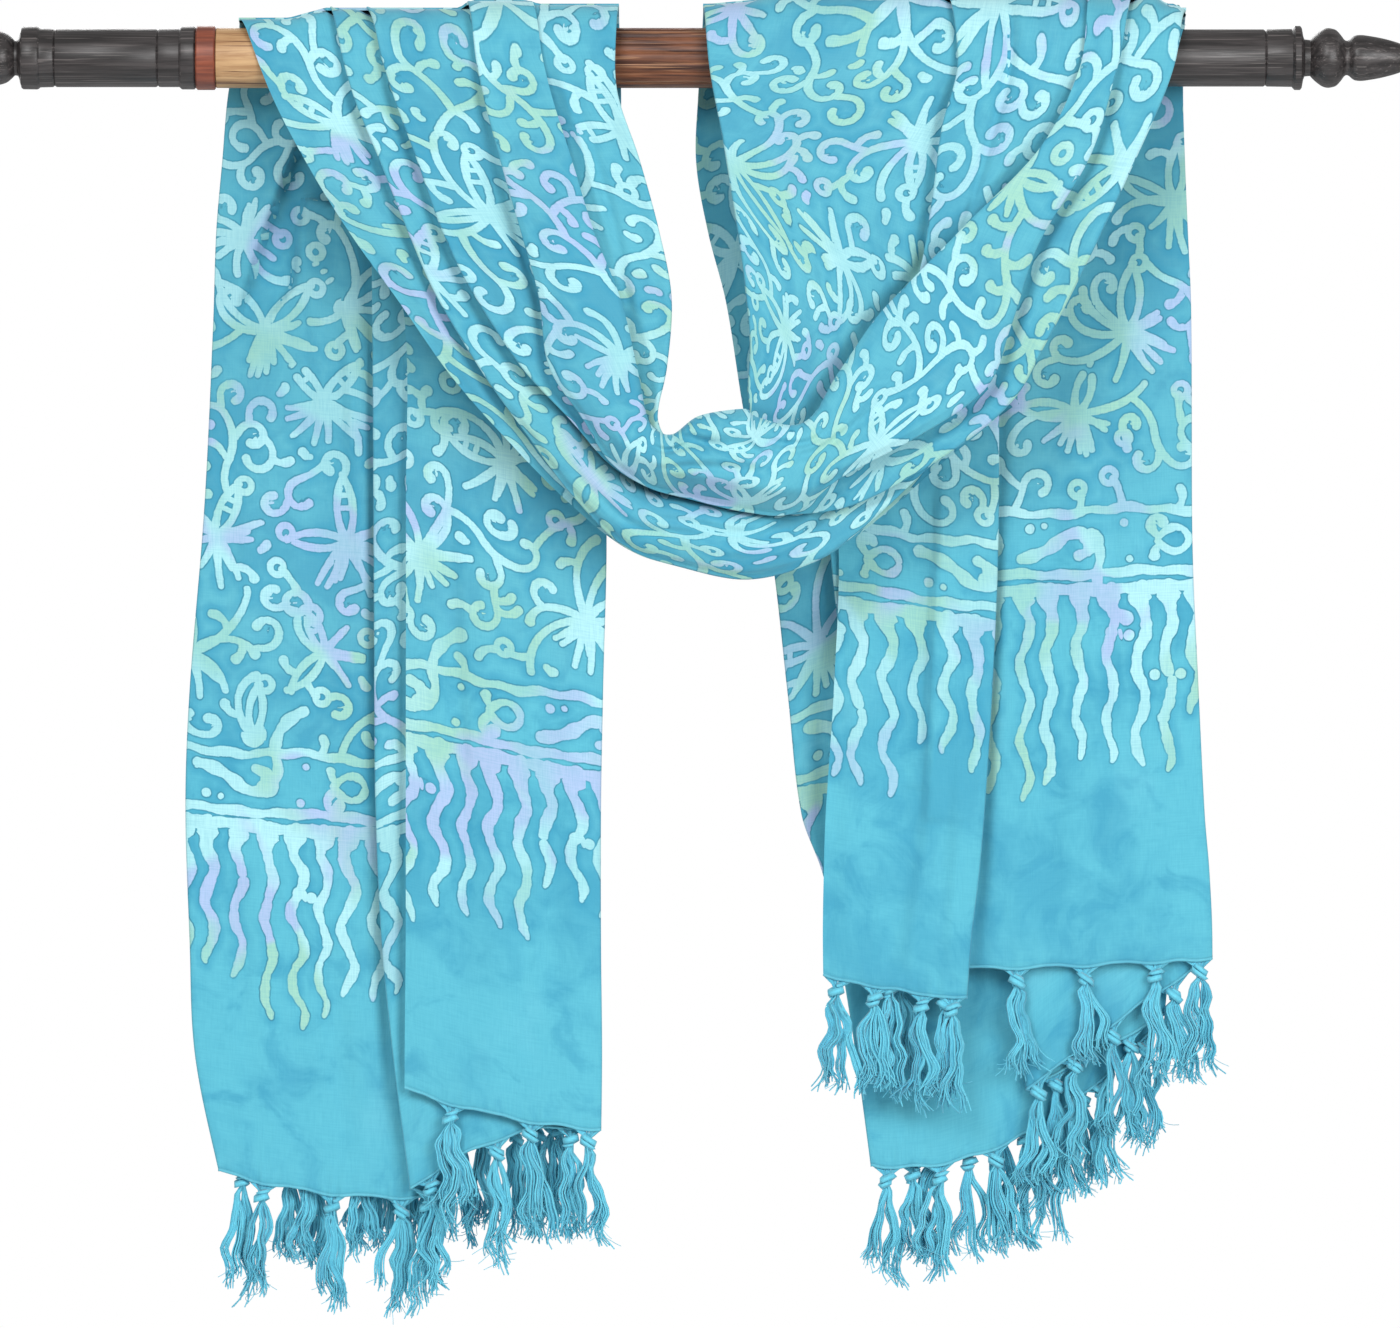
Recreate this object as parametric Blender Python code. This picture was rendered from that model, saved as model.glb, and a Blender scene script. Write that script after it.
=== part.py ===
"""Batik sarong hung over a turned wooden rod.

One rectangle of cloth with a knotted fringe on both short ends. Its left end hangs behind the rod,
its middle passes over the rod and hangs in front as a gathered swag, and its right end passes back
over the rod and hangs behind. Tables are in millimetres from the middle of the rod: +X to the right,
+Z up, -Y to the front.
"""

import math

import bmesh
import bpy
from mathutils import Vector

MM = 0.001

# ---- driving sizes, mm ----
ROD_RADIUS = 16.5
CLOTH_THICKNESS = 1.2
ROD_CLEARANCE = 1.1
SEAM_GAP = 0.3
LAY_RADIUS = ROD_RADIUS + ROD_CLEARANCE + CLOTH_THICKNESS / 2
QUARTER_WRAP = LAY_RADIUS * math.pi / 2
LAYER_STEP_ON_ROD = 2.2
TURN_STEPS = 3
SWAG_PASS_STEPS = 3
SWAG_ROWS_ROUND_ROD = (0.0, 0.22, 0.45, 0.7)
FALL_PASS_STEPS = 4
LOWER_ROLL_PASS, UPPER_ROLL_PASS, UPPER_ROLL_FOLD = 2, 6, 4
LOWER_ROLL_SWELL, UPPER_ROLL_SWELL = 0.8, 0.9
LEAST_CREASE = 0.2  # below this share of the lower roll's pass the crease is lost in the folds
LOWER_ROLL_FADE, CREASE_FADE = 0.2, 0.06
FALL_HANGING_ROWS = 9
FIRST_HANGING_DROP = 46.0
CREST_DROPS = (0.2, 9.5, 19.0, 29.0)

# The swag, a row for each section from the left crest of the rod to the right one. outer and inner
# are the ends of the section, and fold_1 .. fold_7 say where each fold lies between them, 0 at the
# outer edge. Fold 0 is the selvage at the outer edge. back is how far the rearmost layer stands off
# the rod, step is the spacing of the layers, and puff is how far the rolls swell forwards.
SWAG_SECTIONS = (
    # name, outer_x, outer_z, inner_x, inner_z, fold_1, fold_2 .. fold_7, back, step, puff
    ("left_2", -235.4, -20.4, -45.7, -16.5, 0.95, 0.235, 0.96, 0.35, 1.0, 0.61, 0.806, 0.0, 2.4, 0.0),
    ("left_3", -214.0, -61.6, -33.0, -57.2, 0.95, 0.219, 0.96, 0.331, 1.0, 0.58, 0.796, 0.5, 2.7, 2.0),
    ("left_4", -191.4, -97.9, -22.0, -97.4, 0.95, 0.188, 0.96, 0.30, 1.0, 0.552, 0.789, 1.5, 3.0, 4.0),
    ("left_5", -165.0, -134.8, -15.4, -133.1, 0.95, 0.147, 0.96, 0.287, 1.0, 0.515, 0.812, 2.5, 3.4, 5.0),
    ("left_6", -136.4, -175.5, -17.6, -168.9, 0.94, 0.148, 0.96, 0.34, 1.0, 0.458, 0.856, 4.0, 3.8, 6.0),
    ("left_7", -104.5, -211.8, -22.0, -190.3, 0.92, 0.127, 0.95, 0.433, 1.0, 0.50, 0.90, 5.5, 4.3, 8.0),
    ("left_8", -73.2, -243.7, -20.9, -200.2, 0.90, 0.06, 0.94, 0.45, 0.97, 0.48, 0.91, 7.0, 4.8, 10.0),
    ("belly_1", -41.2, -269.5, -13.2, -203.5, 0.86, 0.0, 0.88, 0.49, 0.90, 0.51, 0.93, 8.5, 5.2, 12.0),
    ("belly_2", -9.9, -280.5, 0.0, -194.7, 0.86, 0.0, 0.88, 0.44, 0.90, 0.46, 0.96, 9.5, 5.5, 13.0),
    ("belly_3", 25.9, -287.1, 24.2, -192.5, 0.86, 0.0, 0.90, 0.395, 0.88, 0.415, 0.98, 10.0, 5.6, 14.0),
    ("belly_4", 61.1, -278.3, 24.8, -179.9, 0.86, 0.0, 0.97, 0.27, 0.76, 0.30, 0.805, 10.0, 5.5, 13.0),
    ("right_8", 91.3, -259.1, 27.0, -155.1, 0.90, 0.01, 1.0, 0.12, 0.48, 0.25, 0.55, 9.0, 5.0, 10.0),
    ("right_7", 129.2, -226.1, 24.2, -124.9, 0.93, 0.02, 1.0, 0.02, 0.46, 0.14, 0.512, 7.5, 4.6, 8.0),
    ("right_6", 168.3, -192.5, 20.9, -100.1, 0.94, 0.02, 1.0, 0.0, 0.45, 0.09, 0.50, 6.0, 4.1, 6.0),
    ("right_5", 188.7, -159.0, 16.5, -72.6, 0.95, 0.02, 1.0, 0.0, 0.41, 0.11, 0.42, 4.5, 3.7, 5.0),
    ("right_4", 211.8, -113.9, 12.1, -45.1, 0.96, 0.02, 1.0, 0.0, 0.43, 0.135, 0.325, 3.0, 3.3, 4.0),
    ("right_3", 236.5, -61.6, 6.6, -16.5, 0.97, 0.02, 1.0, 0.0, 0.455, 0.103, 0.222, 1.0, 2.8, 2.0),
    ("right_2", 257.4, -13.2, 3.9, 3.3, 0.97, 0.02, 1.0, 0.0, 0.46, 0.119, 0.20, 0.0, 2.4, 0.0),
)
SWAG_CRESTS = (
    ("left_1", -253.6, 16.0, -44.6, 16.0, 0.95, 0.24, 0.96, 0.335, 1.0, 0.60, 0.768, 0.0, 2.2, 0.0),
    ("right_1", 267.3, 16.0, 1.7, 16.0, 0.97, 0.02, 1.0, 0.0, 0.493, 0.11, 0.20, 0.0, 2.2, 0.0),
)

# Each fall hangs behind the rod. A row gives a height on the cloth and the x of each fold there, and
# hem_z is the height at which each fold ends. Fold 0 is the selvage in front.
LEFT_FALL = {
    "name": "left_fall",
    "fold_x": (
        # z, fold_0 .. fold_7
        (17.0, -204.1, -110.0, -183.7, -77.0, -253.6, -44.6, -128.2, -93.0),
        (-19.8, -195.3, -97.9, -182.6, -71.5, -260.7, -43.5, -143.0, -83.6),
        (-56.1, -185.9, -85.2, -182.1, -67.1, -264.0, -44.0, -154.0, -79.2),
        (-94.6, -174.9, -71.5, -181.5, -63.8, -267.3, -45.1, -165.0, -75.9),
        (-145.2, -162.8, -59.4, -181.0, -60.5, -269.0, -48.4, -180.4, -72.6),
        (-246.4, -162.2, -51.7, -180.4, -58.3, -273.9, -52.8, -203.5, -69.3),
        (-349.8, -162.2, -53.4, -179.9, -59.4, -282.2, -56.1, -217.3, -69.3),
        (-411.4, -162.2, -54.5, -179.3, -61.6, -284.4, -58.3, -222.8, -70.4),
        (-485.1, -162.2, -54.5, -176.0, -68.0, -282.2, -60.5, -226.6, -71.5),
        (-551.1, -162.8, -53.9, -169.4, -104.0, -278.9, -61.6, -228.8, -72.6),
        (-628.1, -162.8, -55.0, -159.5, -140.0, -262.9, -62.7, -231.0, -73.7),
    ),
    "hem_z": (-566.5, -588.5, -622.0, -626.0, -612.7, -580.0, -606.0, -584.0),
    "hem_sag": (4.0, -12.0, 0.0, 6.0, 0.0, -4.0, -4.0),
    "slack_on_rod": ((-226.0, 2.5), (-206.0, 0.0)),
}
RIGHT_FALL = {
    "name": "right_fall",
    "fold_x": (
        # z, fold_0 .. fold_8
        (17.0, 55.0, 165.0, 33.0, 267.3, 55.0, 264.0, 1.7, 253.0, 33.0),
        (-19.8, 57.8, 165.0, 38.5, 266.8, 63.3, 264.0, -1.1, 255.8, 38.5),
        (-56.1, 59.4, 165.0, 44.0, 267.9, 74.2, 264.0, -2.2, 257.4, 44.0),
        (-94.6, 61.6, 165.0, 49.5, 269.5, 88.0, 264.6, 4.4, 258.5, 49.5),
        (-133.1, 64.9, 165.0, 55.0, 271.2, 101.8, 265.1, 14.3, 259.6, 55.0),
        (-194.2, 70.4, 165.0, 63.3, 271.7, 121.0, 265.7, 24.2, 260.7, 66.0),
        (-270.1, 76.5, 164.5, 71.5, 272.2, 143.0, 266.2, 39.1, 261.2, 77.0),
        (-349.2, 73.7, 161.2, 79.8, 275.6, 156.8, 266.2, 48.4, 261.2, 85.2),
        (-416.4, 69.3, 156.8, 83.6, 278.9, 165.0, 265.1, 56.1, 259.6, 90.8),
        (-448.8, 68.2, 154.0, 85.2, 281.6, 169.4, 264.0, 67.7, 257.4, 94.6),
        (-486.8, 67.7, 149.6, 86.9, 283.2, 172.7, 261.2, 75.9, 253.0, 99.0),
        (-542.9, 68.8, 146.3, 88.0, 282.2, 178.2, 255.8, 85.2, 247.5, 104.5),
        (-611.6, 70.4, 146.3, 88.0, 282.2, 182.1, 253.0, 94.6, 244.8, 110.0),
    ),
    "hem_z": (-503.3, -515.9, -500.5, -494.5, -567.1, -526.4, -610.0, -534.6, -595.1),
    "hem_sag": (2.0, 0.0, 2.0, -2.0, 0.0, 26.0, 20.0, 16.0),
    "slack_on_rod": ((6.0, 1.0), (30.0, 0.0)),
}
FALL_STEP_AT_HEM = 5.2
FALL_STEP_LENGTH = 0.8  # share of the fall's length over which the layers spread
FALL_LEAN = 7.0
FALL_LENGTH = 620.0
FALL_SLACK_FADE = 40.0
WAVE_DEPTH, WAVE_WIDTH, WAVE_PHASE = 2.6, 250.0, 0.4
WAVE_FADE = 260.0

# Tassels: x of each knot along the hem of each pass, front pass first
TASSEL_WIDTH = 6.4
TASSEL_DEPTH = 3.6
NECK_WIDTH = 3.4
KNOT_DROP = 4.2
KNOT_LENGTH = 8.0
LOCK_LENGTH = 52.0
LOCK_SPREAD = 5.5
LOCK_DEPTH_SPREAD = 0.55
LOCK_INSET = 0.30
LOCK_TAPER = 0.62
LOCK_ROOT = 1.2
LOCK_SWING = 2.2
LOCK_UNEVEN = 0.14
KNOT_FOOT = (0.62, 0.8)  # width and depth of the knot's foot, as shares of the knot's
STRIP_HEIGHT = 2.2
HEM_BEND = 0.5  # room for the bends of the wall's edge
STRIP_MARGIN = 4.5
LEFT_TASSELS = (
    ("pass_1", (-137.5, -93.5, -61.6)),
    ("pass_2", (-71.5, -112.0, -148.0)),
    ("pass_3", (-150.0,)),
    ("pass_4", (-242.0, -203.5, -165.0)),
    ("pass_5", (-253.0, -218.5, -190.0, -140.0, -102.0, -77.0)),
    ("pass_6", (-82.0, -120.0, -157.0, -182.0, -226.0)),
    ("pass_7", (-210.0, -172.0, -132.0, -90.0)),
)
RIGHT_TASSELS = (
    ("pass_1", (75.0, 96.0, 122.0, 138.8)),
    ("pass_2", (135.0, 105.0)),
    ("pass_3", (110.0, 174.9, 212.8, 251.4, 276.0)),
    ("pass_4", (187.0, 207.0, 228.0, 262.0)),
    ("pass_5", (197.0, 238.0)),
    ("pass_6", (103.4, 133.1, 163.9, 192.0, 222.0, 246.0)),
    ("pass_7", (118.0, 149.0, 180.0, 212.0)),
    ("pass_8", (203.0, 168.0, 130.0)),
)

# Rod: radius along x, a row for each ring
SHAFT_START, SHAFT_END = -154.0, 250.0
SLEEVE_START, SLEEVE_END = -266.0, SHAFT_START - SEAM_GAP
BAND_START, BAND_END = -277.0, SLEEVE_START - SEAM_GAP
FLUTE_COUNT = 18
FLUTE_DEPTH = 0.5
LATHE_SIDES = 18
LEFT_HANDLE = (
    # x, radius
    (-277.3, 17.3), (-285.5, 17.3), (-286.2, 16.0), (-297.5, 16.0), (-298.1, 15.2), (-298.7, 16.0),
    (-354.2, 16.0), (-354.8, 15.2), (-355.4, 16.0), (-363.6, 16.2), (-364.2, 17.0), (-373.0, 17.0),
    (-374.4, 9.6), (-376.8, 9.6), (-381.5, 13.6), (-386.5, 14.8), (-391.5, 13.4), (-395.8, 9.4),
    (-397.6, 9.4), (-401.0, 11.4), (-408.0, 11.9), (-420.0, 10.2), (-429.0, 7.2), (-432.5, 3.6),
)
RIGHT_HANDLE = (
    (250.3, 15.7), (310.2, 15.7), (310.8, 15.0), (311.4, 15.7), (326.0, 15.9), (326.6, 17.6),
    (330.6, 17.6), (332.2, 10.2), (335.4, 9.9), (339.5, 13.8), (345.0, 16.4), (350.0, 15.2),
    (354.6, 9.8), (356.4, 9.6), (359.5, 12.0), (366.0, 12.4), (376.0, 10.6), (386.0, 7.6), (391.0, 3.4),
)

COLOURS = {
    # name: colour, roughness
    "batik_cloth": ((0.07, 0.42, 0.62), 0.75),
    "fringe_yarn": ((0.06, 0.38, 0.55), 0.85),
    "dark_wood": ((0.035, 0.030, 0.030), 0.45),
    "red_wood": ((0.20, 0.075, 0.03), 0.5),
    "pale_wood": ((0.50, 0.30, 0.14), 0.5),
    "band_wood": ((0.28, 0.07, 0.03), 0.5),
}


def clear_scene():
    for item in list(bpy.data.objects):
        bpy.data.objects.remove(item, do_unlink=True)


def material(name):
    made = bpy.data.materials.get(name)
    if made:
        return made
    colour, roughness = COLOURS[name]
    made = bpy.data.materials.new(name)
    made.use_nodes = True
    shader = made.node_tree.nodes["Principled BSDF"]
    shader.inputs["Base Color"].default_value = (*colour, 1.0)
    shader.inputs["Roughness"].default_value = roughness
    shader.inputs["Metallic"].default_value = 0.0
    return made


def add_object(name, points, faces, material_name):
    """A mesh object from points in millimetres."""
    mesh = bpy.data.meshes.new(name)
    mesh.from_pydata([Vector(p) * MM for p in points], [], faces)
    build = bmesh.new()
    build.from_mesh(mesh)
    bmesh.ops.recalc_face_normals(build, faces=build.faces)
    build.to_mesh(mesh)
    build.free()
    made = bpy.data.objects.new(name, mesh)
    made.data.materials.append(material(material_name))
    bpy.context.collection.objects.link(made)
    return made


def smooth(x):
    x = min(1.0, max(0.0, x))
    return x * x * (3.0 - 2.0 * x)


def blend(start, end, share):
    return start + (end - start) * share


def spline(rows, x, column):
    """Catmull-Rom through the rows' column, by the rows' first value, which rises or falls."""
    keys = [row[0] for row in rows]
    sign = 1.0 if keys[-1] > keys[0] else -1.0
    if (x - keys[0]) * sign <= 0.0:
        return rows[0][column]
    if (x - keys[-1]) * sign >= 0.0:
        return rows[-1][column]
    i = max(j for j in range(len(keys) - 1) if (x - keys[j]) * sign >= 0.0)
    before = rows[max(i - 1, 0)]
    start = rows[i]
    end = rows[i + 1]
    after = rows[min(i + 2, len(rows) - 1)]
    span = end[0] - start[0]
    u = (x - start[0]) / span
    slope_in = (end[column] - before[column]) / (end[0] - before[0]) * span
    slope_out = (after[column] - start[column]) / (after[0] - start[0]) * span
    return (
        (2 * u**3 - 3 * u**2 + 1) * start[column]
        + (u**3 - 2 * u**2 + u) * slope_in
        + (-2 * u**3 + 3 * u**2) * end[column]
        + (u**3 - u**2) * slope_out
    )


def line_between(rows, x):
    """Straight-line value of a two-column table."""
    if x <= rows[0][0]:
        return rows[0][1]
    for (x0, v0), (x1, v1) in zip(rows, rows[1:]):
        if x <= x1:
            return v0 + (v1 - v0) * (x - x0) / (x1 - x0)
    return rows[-1][1]


def drop_at(z):
    """Distance down the cloth from the crest of the rod to height z."""
    if z >= LAY_RADIUS:
        return 0.0
    if z > 0.0:
        return LAY_RADIUS * math.acos(z / LAY_RADIUS)
    return QUARTER_WRAP - z


def hang(x, drop, height, back, side):
    """A point of cloth: round the rod, then straight down. side is -1 in front and +1 behind."""
    if drop < QUARTER_WRAP:
        angle = drop / LAY_RADIUS
        radius = LAY_RADIUS + height
        return Vector((x, side * radius * math.sin(angle), radius * math.cos(angle)))
    return Vector((x, side * (LAY_RADIUS + back + height), QUARTER_WRAP - drop))


def folded_row(folds, levels, stations, place):
    """The midline of one row of folded cloth.

    folds are (x, drop) of each fold, levels the height of each pass and stations the places of its
    points, 0 to 1. place(x, drop, height, fraction) gives the point, where fraction runs from 0 to
    the number of passes.
    """
    last = len(folds) - 1
    points = []
    radii = [0.0]
    radii += [abs(levels[k] - levels[k - 1]) / 2 for k in range(1, last)]
    radii += [0.0]
    outward = []
    for k in range(last + 1):
        near = [folds[j] for j in (k - 1, k + 1) if 0 <= j <= last]
        middle_x = sum(p[0] for p in near) / len(near)
        middle_drop = sum(p[1] for p in near) / len(near)
        away = Vector((folds[k][0] - middle_x, folds[k][1] - middle_drop))
        outward.append(away.normalized())
    for k in range(last):
        start = Vector(folds[k]) - outward[k] * radii[k]
        end = Vector(folds[k + 1]) - outward[k + 1] * radii[k + 1]
        for u in stations[k]:
            flat = start.lerp(end, u)
            points.append(place(flat.x, flat.y, levels[k], k + u))
        if k + 1 == last:
            break
        centre = end
        for i in range(1, TURN_STEPS):
            angle = -math.pi / 2 + math.pi * i / TURN_STEPS
            flat = centre + outward[k + 1] * radii[k + 1] * math.cos(angle)
            middle = (levels[k] + levels[k + 1]) / 2
            rise = (levels[k + 1] - levels[k]) / 2 * math.sin(angle)
            points.append(place(flat.x, flat.y, middle + rise, k + 1.0))
    return points


def cloth_wall(name, rows):
    """A closed wall of even thickness on both sides of the rows' midlines."""
    columns = len(rows[0])
    half = CLOTH_THICKNESS / 2
    points = []
    for j, row in enumerate(rows):
        above = rows[max(j - 1, 0)]
        below = rows[min(j + 1, len(rows) - 1)]
        offsets = []
        for i in range(columns):
            along = row[min(i + 1, columns - 1)] - row[max(i - 1, 0)]
            down = below[i] - above[i]
            offsets.append(along.cross(down).normalized() * half)
        points += [p + n for p, n in zip(row, offsets)]
        points += [p - n for p, n in zip(row, offsets)]

    def at(j, i, face):
        return j * 2 * columns + face * columns + i

    faces = []

    def quad(a, b, c, d):
        faces.append((a, b, c))
        faces.append((a, c, d))

    for j in range(len(rows) - 1):
        for i in range(columns - 1):
            quad(at(j, i, 0), at(j, i + 1, 0), at(j + 1, i + 1, 0), at(j + 1, i, 0))
            quad(at(j, i, 1), at(j, i + 1, 1), at(j + 1, i + 1, 1), at(j + 1, i, 1))
        for i in (0, columns - 1):
            quad(at(j, i, 0), at(j, i, 1), at(j + 1, i, 1), at(j + 1, i, 0))
    for j in (0, len(rows) - 1):
        for i in range(columns - 1):
            quad(at(j, i, 0), at(j, i + 1, 0), at(j, i + 1, 1), at(j, i, 1))
    return add_object(name, points, faces, "batik_cloth")


# ---- swag ----


def swag_table():
    """Section rows keyed by their number, with the crests' rows at both ends."""
    rows = [SWAG_CRESTS[0], *SWAG_SECTIONS, SWAG_CRESTS[1]]
    table = []
    for number, row in enumerate(rows):
        at_crest = number in (0, len(rows) - 1)
        outer_drop = 0.0 if at_crest else drop_at(row[2])
        inner_drop = 0.0 if at_crest else drop_at(row[4])
        table.append((float(number), row[1], outer_drop, row[3], inner_drop, 0.0, *row[5:]))
    return table


def swag_row(table, number):
    values = [0.0] + [spline(table, number, c) for c in range(1, len(table[0]))]
    outer = Vector((values[1], values[2]))
    inner = Vector((values[3], values[4]))
    across = values[5:13]
    back, step, puff = values[13:16]
    folds = [tuple(outer.lerp(inner, a)) for a in across]
    levels = [step * k for k in range(len(folds) - 1)]
    crease = (across[UPPER_ROLL_FOLD] - across[2]) / (across[3] - across[2])
    lower_roll = LOWER_ROLL_SWELL * smooth((crease - LEAST_CREASE) / LOWER_ROLL_FADE)
    crease_shows = smooth((crease - LEAST_CREASE) / CREASE_FADE)
    near = blend(1 / 3, crease / 2, crease_shows)
    far = blend(2 / 3, crease, crease_shows)
    stations = [[i / SWAG_PASS_STEPS for i in range(SWAG_PASS_STEPS + 1)] for _ in levels]
    stations[LOWER_ROLL_PASS] = [0.0, near, far, 1.0]
    swells = {LOWER_ROLL_PASS: (0.0, lower_roll, 0.0, 0.0), UPPER_ROLL_PASS: (0.0, UPPER_ROLL_SWELL, UPPER_ROLL_SWELL, 0.0)}

    def place(x, drop, height, fraction):
        k = min(int(fraction), len(levels) - 1)
        swell = 0.0
        if k in swells:
            i = min(range(4), key=lambda n: abs(stations[k][n] - (fraction - k)))
            swell = puff * swells[k][i]
        return hang(x, drop, height, back + swell, -1)

    return folded_row(folds, levels, stations, place)


def swag_numbers(count):
    """Section numbers of the rows, with more of them where the cloth rounds the rod."""
    ends = list(SWAG_ROWS_ROUND_ROD)
    return ends + [float(n) for n in range(1, count - 1)] + [count - 1 - e for e in reversed(ends)]


def make_swag():
    table = swag_table()
    rows = [swag_row(table, n) for n in swag_numbers(len(table))]
    for row in (rows[0], rows[-1]):
        for point in row:
            point.y -= SEAM_GAP / 2
    cloth_wall("swag", rows)


# ---- falls ----


def fall_wave(x, drop):
    """Soft upright columns of cloth, alike through all the layers so that they stay apart."""
    grow = smooth((drop - QUARTER_WRAP) / WAVE_FADE)
    return grow * WAVE_DEPTH * math.sin(2 * math.pi * x / WAVE_WIDTH + WAVE_PHASE)


def fall_point(fall, x, drop, level):
    """level is the number of the layer, front layer 0, which may lie between two layers."""
    near_rod = 1.0 - smooth((drop - QUARTER_WRAP) / FALL_SLACK_FADE)
    down = smooth((drop - QUARTER_WRAP) / FALL_LENGTH)
    step = blend(LAYER_STEP_ON_ROD, FALL_STEP_AT_HEM, min(1.0, down / FALL_STEP_LENGTH))
    slack = line_between(fall["slack_on_rod"], x) * near_rod
    height = step * level - LAYER_STEP_ON_ROD * slack
    back = fall_wave(x, drop) - FALL_LEAN * down
    return hang(x, drop, height, back, 1)


def fall_folds(fall, share):
    """(x, drop) of each fold at a share of the way from below the rod to the hem."""
    folds = []
    for k, hem_z in enumerate(fall["hem_z"]):
        hem_drop = QUARTER_WRAP - hem_z
        drop = FIRST_HANGING_DROP + (hem_drop - FIRST_HANGING_DROP) * share
        folds.append((spline(fall["fold_x"], QUARTER_WRAP - drop, k + 1), drop))
    return folds


def fall_row(fall, folds, sag_share):
    passes = len(folds) - 1
    levels = [float(k) for k in range(passes)]

    def place(x, drop, level, fraction):
        k = min(int(fraction), passes - 1)
        u = fraction - k
        sag = fall["hem_sag"][k] * 4 * u * (1 - u) * sag_share
        return fall_point(fall, x, drop + sag, level)

    stations = [[i / FALL_PASS_STEPS for i in range(FALL_PASS_STEPS + 1)]] * passes
    return folded_row(folds, levels, stations, place)


def crest_folds(fall, drop):
    z = LAY_RADIUS * math.cos(drop / LAY_RADIUS)
    return [(spline(fall["fold_x"], z, k + 1), drop) for k in range(len(fall["hem_z"]))]


def make_fall(fall):
    rows = [fall_row(fall, crest_folds(fall, drop), 0.0) for drop in CREST_DROPS]
    for i in range(FALL_HANGING_ROWS + 1):
        share = i / FALL_HANGING_ROWS
        rows.append(fall_row(fall, fall_folds(fall, share), share**3))
    cloth_wall(fall["name"], rows)


# ---- fringe ----


def hem_line(fall, number):
    """The wall's lower edge along one pass, from left to right."""
    row = fall_row(fall, fall_folds(fall, 1.0), 1.0)
    first = number * (FALL_PASS_STEPS + TURN_STEPS)
    return sorted(row[first : first + FALL_PASS_STEPS + 1], key=lambda p: p.x)


def hem_point(line, x):
    """The point of the hem at x."""
    for start, end in zip(line, line[1:]):
        if x <= end.x:
            break
    return start.lerp(end, (x - start.x) / (end.x - start.x))


def add_tassel(points, faces, ring, centre, seed):
    """A knot below the strip's ring of four points, and four locks of three sides below that.

    All of it leans with the waves of the cloth, and so stays between the tassels of the passes
    before and behind.
    """
    first = len(points)
    top = Vector(centre)
    width = TASSEL_WIDTH / 2
    depth = TASSEL_DEPTH / 2
    rings = [list(ring)]
    foot_size = (width * KNOT_FOOT[0], depth * KNOT_FOOT[1])
    for drop, (w, d) in ((KNOT_DROP, (width, depth)), (KNOT_LENGTH, foot_size)):
        base = len(points)
        for sx, sy in ((-1, -1), (1, -1), (1, 1), (-1, 1)):
            points.append(top + Vector((sx * w, sy * d, -drop)))
        rings.append([base, base + 1, base + 2, base + 3])
    for upper, lower in zip(rings, rings[1:]):
        for i in range(4):
            faces.append((upper[i], upper[(i + 1) % 4], lower[(i + 1) % 4], lower[i]))
    foot = rings[-1]
    middle = len(points)
    points.append(top + Vector((0, 0, -KNOT_LENGTH - LOCK_ROOT / 2)))
    for i in range(4):
        a, b = foot[i], foot[(i + 1) % 4]
        side = ((0, -1), (1, 0), (0, 1), (-1, 0))[i]
        swing = math.sin(seed * 2.3 + i * 1.7)
        corners = [Vector(points[n]) for n in (a, b, middle)]
        centroid = (corners[0] + corners[1] + corners[2]) / 3
        root = len(points)
        for corner in corners:
            points.append(corner.lerp(centroid, LOCK_INSET) - Vector((0, 0, LOCK_ROOT)))
        for p, q, r, s in ((a, b, root + 1, root), (b, middle, root + 2, root + 1), (middle, a, root, root + 2)):
            faces.append((p, q, r, s))
        length = LOCK_LENGTH * (1.0 - LOCK_UNEVEN * (1.0 - math.cos(seed * 1.9 + i * 2.6)))
        lean = Vector((side[0] * LOCK_SPREAD + swing * LOCK_SWING, side[1] * LOCK_DEPTH_SPREAD, 0))
        waist = len(points)
        for corner in corners:
            points.append(centroid + (corner - centroid) * LOCK_TAPER + lean * 0.75 - Vector((0, 0, length * 0.5)))
        tip = len(points)
        points.append(centroid + lean * 0.95 - Vector((0, 0, length)))
        for j in range(3):
            n = (j + 1) % 3
            faces.append((root + j, root + n, waist + n, waist + j))
            faces.append((waist + j, waist + n, tip))
    for i in range(first, len(points)):
        points[i].y += fall_wave(points[i].x, FALL_LENGTH) - fall_wave(top.x, FALL_LENGTH)


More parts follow.
